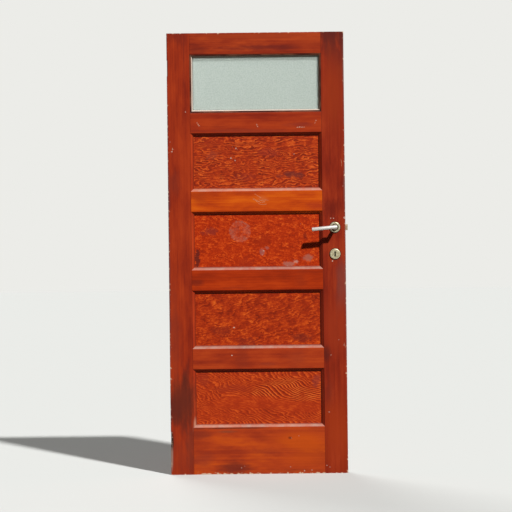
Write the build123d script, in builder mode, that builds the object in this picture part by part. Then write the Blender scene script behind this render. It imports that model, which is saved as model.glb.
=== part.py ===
from build123d import *
import os
from math import cos, radians, sin

os.makedirs("parts", exist_ok=True)

# A stile-and-rail door leaf: four plywood panels under one glazed opening.
# X runs from the hinge edge to the lock edge, Y from the front face to the back face, Z up.
# The origin is on the hinge edge, half-way up and half-way through the thickness.

# Leaf
door_width = 830.0
door_height = 2070.0
door_thickness = 38.0
stile_width = 107.0  # seen on the face, without the splay
top_rail_height = 100.0
cross_rail_height = 95.0
bottom_rail_height = 220.0
cross_rail_names = ["lower_rail", "middle_rail", "upper_rail", "glazing_rail"]  # from below
arris_radius = 1.5

# Splayed sticking round every opening, mitred at its corners
splay_width = 15.0
splay_depth = 11.0

# Panels
panel_names = ["bottom_panel", "third_panel", "second_panel", "top_panel"]  # from below
panel_thickness = 12.0
groove_depth = 10.0
panel_play = 1.0  # room to swell at each edge

# Wedged through tenons
tenon_thickness = 13.0
tenon_shoulder = 10.0
top_haunch = 30.0
twin_tenon_gap = 40.0
wedge_head = 6.0
wedge_tip = 1.0
wedge_length = 60.0

# Glazing
glass_thickness = 4.0
glass_setback = 20.0  # from the front face to the glass
glass_play = 2.0
bead_width = 13.0
bead_setback = 1.5
bead_flat = 6.0  # the front of the bead, outside its splay
bead_splay_depth = 9.0

# Hinge recesses, empty, open to the front face
hinge_height = 76.0
hinge_leaf_width = 30.0
hinge_recess_depth = 3.0
hinge_end_distance = 125.0
hinge_screw_radius = 1.75
hinge_screw_depth = 25.0
hinge_screw_spacing_y = 14.0
hinge_screw_spacing_z = 50.0

# Lock, let into the lock stile halfway up the second panel
lock_panel = "second_panel"
key_drop = 125.0  # from the lever's axis down to the key's
backset = 50.0
forend_thickness = 3.0
forend_width = 22.0
forend_overrun = 22.0  # past each end of the case
forend_corner = 3.0
case_thickness = 16.0
case_depth = 75.0
case_above_lever = 37.0
case_below_key = 27.0
case_wall = 1.5
mortise_play = 0.5
bolt_play = 0.3
latch_height = 28.0
latch_projection = 11.0
latch_length = 36.0  # from its tip
latch_nose = 3.0  # flat left at the tip of the bevel
dead_bolt_height = 34.0
dead_bolt_length = 35.0
dead_bolt_rise = 8.0  # above the key's axis
follower_radius = 8.5
turning_play = 0.06
spindle_side = 8.0
spindle_play = 0.05
spindle_reach = 30.0  # past each face of the leaf
spindle_bore_radius = 11.0

# Lever furniture
rose_radius = 25.0
lever_rose_edge = 3.0
lever_rose_shoulder = 5.5
lever_rose_collar = 10.0
lever_rose_shoulder_radius = 21.0
lever_rose_step_radius = 15.0
lever_rose_collar_radius = 13.0
lever_rose_fall = 0.5  # of the annulus, towards its step
key_rose_edge = 2.5
key_rose_crown = 5.0
key_rose_crown_radius = 21.0
keyhole_head_radius = 4.0
keyhole_slot_width = 5.4
keyhole_drop = 21.0  # from the head's centre down to the slot's foot
keyhole_rise = 8.5  # from the rose's centre up to the head's centre
key_bore_width = 12.0
key_bore_height = 34.0
lever_radius = 9.0
lever_projection = 46.0  # from the face of the leaf to the grip's axis
lever_reach = 110.0  # from the spindle's axis to the tip
lever_droop = 5.3  # degrees below level, at rest
lever_tip_chamfer = 1.5
neck_gap = 1.0  # from the face of the leaf to the neck's end
socket_end_gap = 1.0  # from the spindle's end to the socket's floor

front = -door_thickness / 2
back = door_thickness / 2
foot = -door_height / 2
head = door_height / 2
opening_count = len(cross_rail_names) + 1
opening_left = stile_width
opening_right = door_width - stile_width
opening_width = opening_right - opening_left
rails_height = top_rail_height + bottom_rail_height + len(cross_rail_names) * cross_rail_height
opening_height = (door_height - rails_height) / opening_count
door_middle_x = door_width / 2
lock_x = door_width - backset
case_height = case_above_lever + key_drop + case_below_key
forend_height = case_height + 2 * forend_overrun
bolt_thickness = case_thickness - 2 * case_wall - 2 * bolt_play


def write(piece, name):
    piece.part.label = name
    export_step(piece.part, f"parts/{name}.step")


def opening_foot(number):
    """The height of an opening's lower edge on the face, counted from the lowest opening."""
    return foot + bottom_rail_height + number * (opening_height + cross_rail_height)


case_middle_z = opening_foot(panel_names.index(lock_panel)) + opening_height / 2
lever_z = case_middle_z + case_height / 2 - case_above_lever
key_z = lever_z - key_drop
latch_bottom = lever_z - latch_height / 2
dead_bolt_z = key_z + dead_bolt_rise


def box_cutter(x_span, y_span, z_span):
    """A plain block between three pairs of limits."""
    with BuildPart() as block:
        with BuildSketch(Plane.XY.offset(z_span[0])):
            with Locations(((x_span[0] + x_span[1]) / 2, (y_span[0] + y_span[1]) / 2)):
                Rectangle(x_span[1] - x_span[0], y_span[1] - y_span[0])
        extrude(amount=z_span[1] - z_span[0])
    return block.part


def splay_cutter(low, face_y, inward):
    """The tapered recess that leaves four mitred splays round an opening."""
    centre = (door_middle_x, face_y, low + opening_height / 2)
    face = Plane(origin=centre, x_dir=(1, 0, 0), z_dir=(0, inward, 0))
    with BuildPart() as recess:
        with BuildSketch(face):
            Rectangle(opening_width, opening_height)
        with BuildSketch(face.offset(splay_depth)):
            Rectangle(opening_width - 2 * splay_width, opening_height - 2 * splay_width)
        loft()
    return recess.part


# What every opening takes out of the frame round it
opening_cutters = []
for number in range(opening_count):
    low = opening_foot(number)
    high = low + opening_height
    opening_cutters.append(splay_cutter(low, back, -1))
    if number < len(panel_names):
        bite = splay_width - groove_depth - panel_play
        opening_cutters.append(splay_cutter(low, front, 1))
        opening_cutters.append(
            box_cutter(
                (opening_left + bite, opening_right - bite),
                (-panel_thickness / 2, panel_thickness / 2),
                (low + bite, high - bite),
            )
        )
    else:
        rebate_floor = front + glass_setback + glass_thickness
        opening_cutters.append(
            box_cutter((opening_left, opening_right), (front, rebate_floor), (low, high))
        )

# What the two hinges and their screws take out of the hinge edge
hinge_feet = [foot + hinge_end_distance, head - hinge_end_distance - hinge_height]
hinge_cutters = [
    box_cutter(
        (0, hinge_recess_depth),
        (front, front + hinge_leaf_width),
        (hinge_foot, hinge_foot + hinge_height),
    )
    for hinge_foot in hinge_feet
]
for hinge_foot in hinge_feet:
    leaf_middle = (hinge_recess_depth, front + hinge_leaf_width / 2, hinge_foot + hinge_height / 2)
    with BuildPart() as screw_holes:
        with BuildSketch(Plane(origin=leaf_middle, x_dir=(0, 1, 0), z_dir=(1, 0, 0))):
            with GridLocations(hinge_screw_spacing_y, hinge_screw_spacing_z, 2, 2):
                Circle(hinge_screw_radius)
        extrude(amount=hinge_screw_depth)
    hinge_cutters.append(screw_holes.part)


def edge_plane(height):
    """A plane on the lock edge, facing into the leaf, with its x through the thickness."""
    return Plane(origin=(door_width, 0, height), x_dir=(0, 1, 0), z_dir=(-1, 0, 0))


# What the lock takes out of the lock edge: rebate for the forend, mortise for the case, cross bores
with BuildPart() as lock_recess:
    with BuildSketch(edge_plane(case_middle_z)):
        RectangleRounded(forend_width, forend_height, forend_corner)
    extrude(amount=forend_thickness)
    with BuildSketch(edge_plane(case_middle_z)):
        Rectangle(case_thickness + 2 * mortise_play, case_height + 2 * mortise_play)
    extrude(amount=forend_thickness + case_depth + mortise_play)
    with BuildSketch(Plane.XZ):
        with Locations((lock_x, lever_z)):
            Circle(spindle_bore_radius)
        with Locations((lock_x, key_z)):
            SlotOverall(key_bore_height, key_bore_width, rotation=90)
    extrude(amount=door_thickness / 2, both=True)
edge_cutters = hinge_cutters + [lock_recess.part]


def tenon_spans():
    """Each rail's tenons as (rail name, lowest, highest)."""
    spans = []
    twin = (bottom_rail_height - 2 * tenon_shoulder - twin_tenon_gap) / 2
    low = foot + tenon_shoulder
    spans.append(("bottom_rail", low, low + twin))
    spans.append(("bottom_rail", low + twin + twin_tenon_gap, low + 2 * twin + twin_tenon_gap))
    for number, name in enumerate(cross_rail_names):
        low = opening_foot(number) + opening_height
        spans.append((name, low + tenon_shoulder, low + cross_rail_height - tenon_shoulder))
    low = head - top_rail_height
    spans.append(("top_rail", low + tenon_shoulder, head - top_haunch))
    return spans


def wedge_outlines(edge_x, inward):
    """The wedges above and below every tenon at one edge of the leaf, in elevation."""
    outlines = []
    for name, low, high in tenon_spans():
        for end, outward in ((high, 1), (low, -1)):
            outlines.append(
                [
                    (edge_x, end),
                    (edge_x, end + outward * wedge_head),
                    (edge_x + inward * wedge_length, end + outward * wedge_tip),
                    (edge_x + inward * wedge_length, end),
                ]
            )
    return outlines


def stile_blank(edge_x, inward):
    """A stile with its splayed lips, mortised and grooved, before hinges or lock are let in."""
    shoulder_x = edge_x + inward * stile_width
    lip_x = shoulder_x + inward * splay_width
    with BuildPart() as stile:
        with BuildSketch(Plane.XZ):
            with Locations((edge_x + inward * stile_width / 2, 0)):
                Rectangle(stile_width, door_height)
            for number in range(opening_count):
                low = opening_foot(number)
                high = low + opening_height
                Polygon(
                    (shoulder_x, low),
                    (lip_x, low + splay_width),
                    (lip_x, high - splay_width),
                    (shoulder_x, high),
                    align=None,
                )
        extrude(amount=door_thickness / 2, both=True)
        outer_arrises = stile.edges().filter_by(Axis.Z).filter_by_position(
            Axis.X, edge_x - arris_radius, edge_x + arris_radius
        )
        fillet(outer_arrises, radius=arris_radius)
        for cutter in opening_cutters:
            add(cutter, mode=Mode.SUBTRACT)
        with BuildSketch(Plane.XZ):
            for name, low, high in tenon_spans():
                with Locations((edge_x + inward * stile_width / 2, (low + high) / 2)):
                    Rectangle(stile_width, high - low)
            for outline in wedge_outlines(edge_x, inward):
                Polygon(*outline, align=None)
        extrude(amount=tenon_thickness / 2, both=True, mode=Mode.SUBTRACT)
    return stile.part


def wedges(name, edge_x, inward):
    """The wedges at one edge, cut back where a hinge or the lock is let in."""
    with BuildPart() as set_of_wedges:
        with BuildSketch(Plane.XZ):
            for outline in wedge_outlines(edge_x, inward):
                Polygon(*outline, align=None)
        extrude(amount=tenon_thickness / 2, both=True)
        for cutter in edge_cutters:
            add(cutter, mode=Mode.SUBTRACT)
    write(set_of_wedges, name)


def rail(name, low, high, lip_below, lip_above):
    """A rail with its splayed lips and its through tenons."""
    with BuildPart() as bar:
        with BuildSketch(Plane.XZ):
            with Locations((door_middle_x, (low + high) / 2)):
                Rectangle(opening_width, high - low)
            for edge_z, outward, wanted in ((high, 1, lip_above), (low, -1, lip_below)):
                if wanted:
                    Polygon(
                        (opening_left, edge_z),
                        (opening_left + splay_width, edge_z + outward * splay_width),
                        (opening_right - splay_width, edge_z + outward * splay_width),
                        (opening_right, edge_z),
                        align=None,
                    )
        extrude(amount=door_thickness / 2, both=True)
        for cutter in opening_cutters:
            add(cutter, mode=Mode.SUBTRACT)
        with BuildSketch(Plane.XZ):
            for owner, tenon_low, tenon_high in tenon_spans():
                if owner == name:
                    for tenon_x in (stile_width / 2, door_width - stile_width / 2):
                        with Locations((tenon_x, (tenon_low + tenon_high) / 2)):
                            Rectangle(stile_width, tenon_high - tenon_low)
        extrude(amount=tenon_thickness / 2, both=True)
        for cutter in edge_cutters:
            add(cutter, mode=Mode.SUBTRACT)
    write(bar, name)


# Hinge stile, with the two empty hinge recesses and their screw holes
blank = stile_blank(0, 1)
with BuildPart() as hinge_stile:
    add(blank)
    for cutter in hinge_cutters:
        add(cutter, mode=Mode.SUBTRACT)
write(hinge_stile, "hinge_stile")

# Lock stile, with the lock's recess
blank = stile_blank(door_width, -1)
with BuildPart() as lock_stile:
    add(blank)
    add(lock_recess.part, mode=Mode.SUBTRACT)
write(lock_stile, "lock_stile")

wedges("hinge_edge_wedges", 0, 1)
wedges("lock_edge_wedges", door_width, -1)

# Rails
rail("bottom_rail", foot, foot + bottom_rail_height, False, True)
for number, name in enumerate(cross_rail_names):
    rail_foot = opening_foot(number) + opening_height
    rail(name, rail_foot, rail_foot + cross_rail_height, True, True)
rail("top_rail", head - top_rail_height, head, True, False)

# Panels, held in the grooves
panel_inset = splay_width - groove_depth
for number, name in enumerate(panel_names):
    with BuildPart() as panel:
        with BuildSketch(Plane.XZ):
            with Locations((door_middle_x, opening_foot(number) + opening_height / 2)):
                Rectangle(opening_width - 2 * panel_inset, opening_height - 2 * panel_inset)
        extrude(amount=panel_thickness / 2, both=True)
    write(panel, name)

# Glass, in the rebate behind the beads
glass_low = opening_foot(opening_count - 1)
glass_high = glass_low + opening_height
glass_front = front + glass_setback
glass_middle = (door_middle_x, glass_front, (glass_low + glass_high) / 2)
with BuildPart() as glass_pane:
    with BuildSketch(Plane(origin=glass_middle, x_dir=(1, 0, 0), z_dir=(0, 1, 0))):
        Rectangle(opening_width - 2 * glass_play, opening_height - 2 * glass_play)
    extrude(amount=glass_thickness)
write(glass_pane, "glass_pane")


bead_sides = ["bottom", "lock_side", "top", "hinge_side"]  # each from its first corner to the next


def opening_corners(inset):
    """The corners of the glazed opening, drawn in by an inset, from the lower one at the hinges."""
    return [
        (opening_left + inset, glass_low + inset),
        (opening_right - inset, glass_low + inset),
        (opening_right - inset, glass_high - inset),
        (opening_left + inset, glass_high - inset),
    ]


def bead_outline(side, width):
    """The mitred outline of one bead in elevation, its outer edge on the opening's edge."""
    start = bead_sides.index(side)
    end = (start + 1) % len(bead_sides)
    outer = opening_corners(0)
    inner = opening_corners(width)
    return [outer[start], outer[end], inner[end], inner[start]]


# Glazing beads, mitred where they meet, splayed from a flat front towards the glass
bead_front = Plane.XZ.offset(-front - bead_setback)
bead_shoulder = bead_front.offset(-bead_splay_depth)
for side in bead_sides:
    with BuildPart() as bead:
        with BuildSketch(bead_shoulder):
            Polygon(*bead_outline(side, bead_width), align=None)
        extrude(amount=-(glass_setback - bead_setback - bead_splay_depth))
        with BuildSketch(bead_shoulder):
            Polygon(*bead_outline(side, bead_width), align=None)
        with BuildSketch(bead_front):
            Polygon(*bead_outline(side, bead_flat), align=None)
        loft()
    write(bead, f"{side}_bead")

# Lock case, a folded steel box that is open towards the forend
with BuildPart() as lock_case:
    with BuildSketch(edge_plane(case_middle_z).offset(forend_thickness)):
        Rectangle(case_thickness, case_height)
    extrude(amount=case_depth)
    mouth = lock_case.faces().sort_by(Axis.X)[-1]
    offset(amount=-case_wall, openings=mouth)
    with BuildSketch(Plane.XZ):
        with Locations((lock_x, lever_z)):
            Circle(follower_radius + turning_play)
        with Locations((lock_x, key_z)):
            SlotOverall(key_bore_height, key_bore_width, rotation=90)
    extrude(amount=case_thickness / 2, both=True, mode=Mode.SUBTRACT)
write(lock_case, "lock_case")

# Forend, let in flush with the lock edge
with BuildPart() as lock_forend:
    with BuildSketch(edge_plane(case_middle_z)):
        RectangleRounded(forend_width, forend_height, forend_corner)
    extrude(amount=forend_thickness)
    for bolt_z, bolt_height in ((lever_z, latch_height), (dead_bolt_z, dead_bolt_height)):
        with BuildSketch(edge_plane(bolt_z)):
            Rectangle(bolt_thickness + 2 * bolt_play, bolt_height + 2 * bolt_play)
        extrude(amount=forend_thickness, mode=Mode.SUBTRACT)
write(lock_forend, "lock_forend")

# Latch bolt, seen in plan: its nose is bevelled on the side that meets the strike first
latch_tip = door_width + latch_projection
with BuildPart() as latch_bolt:
    with BuildSketch(Plane.XY.offset(latch_bottom)):
        Polygon(
            (latch_tip - latch_length, -bolt_thickness / 2),
            (latch_tip, -bolt_thickness / 2),
            (latch_tip, -bolt_thickness / 2 + latch_nose),
            (latch_tip - latch_projection, bolt_thickness / 2),
            (latch_tip - latch_length, bolt_thickness / 2),
            align=None,
        )
    extrude(amount=latch_height)
write(latch_bolt, "latch_bolt")

# Dead bolt, drawn back flush with the forend
with BuildPart() as dead_bolt:
    with BuildSketch(edge_plane(dead_bolt_z)):
        Rectangle(bolt_thickness, dead_bolt_height)
    extrude(amount=dead_bolt_length)
write(dead_bolt, "dead_bolt")

# Follower, which turns in the case and carries the spindle
with BuildPart() as lock_follower:
    with BuildSketch(Plane.XZ):
        with Locations((lock_x, lever_z)):
            Circle(follower_radius)
            Rectangle(
                spindle_side + 2 * spindle_play,
                spindle_side + 2 * spindle_play,
                rotation=lever_droop,
                mode=Mode.SUBTRACT,
            )
    extrude(amount=case_thickness / 2, both=True)
write(lock_follower, "lock_follower")

# Spindle
with BuildPart() as lever_spindle:
    with BuildSketch(Plane.XZ):
        with Locations((lock_x, lever_z)):
            Rectangle(spindle_side, spindle_side, rotation=lever_droop)
    extrude(amount=door_thickness / 2 + spindle_reach, both=True)
write(lever_spindle, "lever_spindle")


def furniture_plane(axis_z):
    """A plane through a rose's axis: its x is the radius, its y the height above the front face."""
    return Plane(origin=(lock_x, front, axis_z), x_dir=(1, 0, 0), z_dir=(0, 0, -1))


# Lever rose: a chamfered rim, a nearly flat annulus and a raised collar round the neck
neck_bore_radius = lever_radius + turning_play
with BuildPart() as front_lever_rose:
    with BuildSketch(furniture_plane(lever_z)):
        with BuildLine():
            Polyline(
                (neck_bore_radius, lever_rose_collar),
                (neck_bore_radius, 0),
                (rose_radius, 0),
                (rose_radius, lever_rose_edge),
                (lever_rose_shoulder_radius, lever_rose_shoulder),
                (lever_rose_step_radius, lever_rose_shoulder - lever_rose_fall),
                (lever_rose_collar_radius, lever_rose_collar),
                close=True,
            )
        make_face()
    revolve(axis=Axis((lock_x, front, lever_z), (0, -1, 0)))
write(front_lever_rose, "front_lever_rose")

# Key rose: a disc with a chamfered rim and a keyhole
keyhole_head_z = key_z + keyhole_rise
with BuildPart() as front_key_rose:
    with BuildSketch(furniture_plane(key_z)):
        with BuildLine():
            Polyline(
                (0, key_rose_crown),
                (0, 0),
                (rose_radius, 0),
                (rose_radius, key_rose_edge),
                (key_rose_crown_radius, key_rose_crown),
                close=True,
            )
        make_face()
    revolve(axis=Axis((lock_x, front, key_z), (0, -1, 0)))
    with BuildSketch(Plane.XZ.offset(-front)):
        with Locations((lock_x, keyhole_head_z)):
            Circle(keyhole_head_radius)
        with Locations((lock_x, keyhole_head_z - keyhole_drop / 2)):
            Rectangle(keyhole_slot_width, keyhole_drop)
    extrude(amount=key_rose_crown, mode=Mode.SUBTRACT)
write(front_key_rose, "front_key_rose")

# Lever handle: a round bar, mitred where the neck turns into the grip, with a square socket
neck_end = (lock_x, front - neck_gap, lever_z)
elbow = (lock_x, front - lever_projection, lever_z)
droop = radians(lever_droop)
tip = (
    lock_x - lever_reach * cos(droop),
    front - lever_projection,
    lever_z - lever_reach * sin(droop),
)
socket_depth = spindle_reach - neck_gap + socket_end_gap
with BuildPart() as front_lever:
    with BuildLine() as route:
        Polyline(neck_end, elbow, tip)
    with BuildSketch(Plane(origin=neck_end, x_dir=(1, 0, 0), z_dir=(0, -1, 0))):
        Circle(lever_radius)
    sweep(path=route.line, transition=Transition.RIGHT)
    tip_edge = front_lever.edges().filter_by(GeomType.CIRCLE).sort_by(Axis.X)[0]
    chamfer(tip_edge, length=lever_tip_chamfer)
    with BuildSketch(Plane(origin=neck_end, x_dir=(1, 0, 0), z_dir=(0, -1, 0))):
        Rectangle(
            spindle_side + 2 * spindle_play, spindle_side + 2 * spindle_play, rotation=lever_droop
        )
    extrude(amount=socket_depth, mode=Mode.SUBTRACT)
write(front_lever, "front_lever")

# The back face carries the same furniture
for name, piece in (
    ("back_lever_rose", front_lever_rose),
    ("back_key_rose", front_key_rose),
    ("back_lever", front_lever),
):
    with BuildPart() as twin:
        mirror(piece.part, about=Plane.XZ)
    write(twin, name)
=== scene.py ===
import math

import bmesh
import bpy
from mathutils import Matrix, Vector


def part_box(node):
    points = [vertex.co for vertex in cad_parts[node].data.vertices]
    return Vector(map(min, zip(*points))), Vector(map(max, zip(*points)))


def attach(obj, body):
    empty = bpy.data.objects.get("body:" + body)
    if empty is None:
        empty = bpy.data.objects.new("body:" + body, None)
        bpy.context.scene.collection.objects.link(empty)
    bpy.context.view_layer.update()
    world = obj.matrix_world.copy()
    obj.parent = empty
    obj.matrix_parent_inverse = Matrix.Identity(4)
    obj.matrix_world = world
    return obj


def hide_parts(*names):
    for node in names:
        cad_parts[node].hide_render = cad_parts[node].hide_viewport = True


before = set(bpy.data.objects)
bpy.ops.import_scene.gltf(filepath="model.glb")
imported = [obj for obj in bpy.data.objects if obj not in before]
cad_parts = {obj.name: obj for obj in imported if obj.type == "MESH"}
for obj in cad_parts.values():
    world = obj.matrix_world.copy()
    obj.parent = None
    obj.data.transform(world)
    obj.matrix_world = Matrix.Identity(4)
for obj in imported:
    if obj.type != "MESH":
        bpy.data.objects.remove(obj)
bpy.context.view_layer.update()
print("door: frame loaded,", len(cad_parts), "nodes")

mm = 0.001
stileLow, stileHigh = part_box("hinge_stile")
leaf = {
    "front": stileLow.y,
    "back": stileHigh.y,
    "foot": stileLow.z,
    "head": stileHigh.z,
    "hingeEdge": stileLow.x,
    "lockEdge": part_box("lock_stile")[1].x,
    "shoulder": 107 * mm,  # from each edge to the joint between stile and rail
}
leafMiddle = (leaf["hingeEdge"] + leaf["lockEdge"]) / 2
halfLeaf = leafMiddle - leaf["hingeEdge"]
hingeSeat = {"middle": 872 * mm, "halfHeight": 38 * mm, "depth": 3 * mm, "width": 30 * mm}
spindleAxis = sum(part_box("lever_spindle"), Vector()) / 2
keyAxis = sum(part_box("front_key_rose"), Vector()) / 2


# sRGB hex to the linear colour that the shaders want; other values pass as they are
def paintColour(value):
    if not isinstance(value, str) or not value.startswith("#"):
        return value
    channels = [int(value[i : i + 2], 16) / 255 for i in (1, 3, 5)]
    linear = [c / 12.92 if c <= 0.04045 else ((c + 0.055) / 1.055) ** 2.4 for c in channels]
    return (*linear, 1.0)


# One node with its settings and links. An input is a number, a vector, a hex colour or another
# node's socket; inputs in a tuple go in by order. It hands on one output, or all where out is None
def addNode(tree, kind, inputs=(), out=0, stops=(), **settings):
    node = tree.nodes.new(kind)
    for name, value in settings.items():
        setattr(node, name, value)
    named = inputs if isinstance(inputs, dict) else dict(enumerate(inputs))
    for socket, value in named.items():
        if isinstance(value, bpy.types.NodeSocket):
            tree.links.new(value, node.inputs[socket])
        else:
            node.inputs[socket].default_value = paintColour(value)
    stops = list(stops)
    while stops and len(node.color_ramp.elements) < len(stops):
        node.color_ramp.elements.new(0.5)
    for index, (position, colour) in enumerate(stops):
        node.color_ramp.elements[index].position = position
        node.color_ramp.elements[index].color = paintColour(colour)
    return node.outputs if out is None else node.outputs[out]


def product(tree, share, *others):
    for other in others:
        share = addNode(tree, "ShaderNodeMath", (share, other), operation="MULTIPLY")
    return share


# How far a spot is from the middle of an oval on the face: 1 at the oval's rim
def ovalReach(tree, spot, x, z, halfWidth, halfHeight):
    offset = addNode(tree, "ShaderNodeVectorMath", (spot, (x, 0, z)), operation="SUBTRACT")
    rounded = addNode(
        tree,
        "ShaderNodeVectorMath",
        (offset, (1 / halfWidth, 0, 1 / halfHeight)),
        operation="MULTIPLY",
    )
    return addNode(tree, "ShaderNodeVectorMath", (rounded,), out="Value", operation="LENGTH")


def freshMaterial(name):
    material = bpy.data.materials.new(name)
    material.use_nodes = True
    material.node_tree.nodes.clear()
    return material, material.node_tree


# Ends a material with its surface
def surfaced(tree, inputs):
    surface = addNode(tree, "ShaderNodeBsdfPrincipled", inputs)
    addNode(tree, "ShaderNodeOutputMaterial", {"Surface": surface}, out=None)


# Satin red-brown varnish on planed softwood: straight streaks along the grain, a low gloss,
# dust and painted sheen on what faces up, dark dirt in joints, bare pine at knocked arrises
wornVarnish = {
    "tonePlaces": (0.39, 0.50, 0.61),
    "looseStain": (3.2, 3.0, 1.7),  # how ragged, where its rim starts, where it is full
    "solidStain": (1.6, 2.15, 1.45),
    "bareWood": "#D2AF92",
    # the pale on splays that face up: dust, and a painted sheen of reflected sky
    "dustAndSheen": "#A6A093",
    "dustAndSheenShare": 0.42,
    "dustAndSheenPatch": 30 * mm,
    "dustAndSheenFacing": (0.35, 0.6),
    "dustAndSheenClumps": (0.3, 0.7, 0.55, 1.45),
    "dustAndSheenFrom": 0.84,  # of the splay's depth
    "dustAndSheenFull": 0.6,
    "splayDepth": 11 * mm,
    # a darker tone at the foot of each splay
    "splayFootDark": "#54180C",
    "splayFootDarkShare": 0.75,
    "splayFootDarkFrom": 0.5,
    "splayFootDarkDepth": 12.5 * mm,
    "offFace": (-0.95, -0.88),
    # where the dark ring round a rose is full and where it fades out
    "roseDarkRing": (1.17, 1.06),  # of the rose's radius
    "endGrain": "#4A2016",
    "endGrainShare": 0.72,
    "endFacing": (0.85, 0.97),
    "recessWood": "#5E3B2C",
    "jointDirt": "#4A140C",
    "jointShare": 0.75,
    "jointHalfWidth": 1.1 * mm,
    "chipSize": 16 * mm,
    "chipThreshold": 0.56,
    "chipReach": 0.055,
    "chipFade": 0.3 * mm,
    "grainHeight": 0.3 * mm,
    "roughness": 0.46,
    "specular": 0.13,
}


def varnished(tree, colour, normal):
    finish = {"Base Color": colour, "Normal": normal, "Roughness": wornVarnish["roughness"]}
    surfaced(tree, {**finish, "Specular IOR Level": wornVarnish["specular"]})


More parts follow.
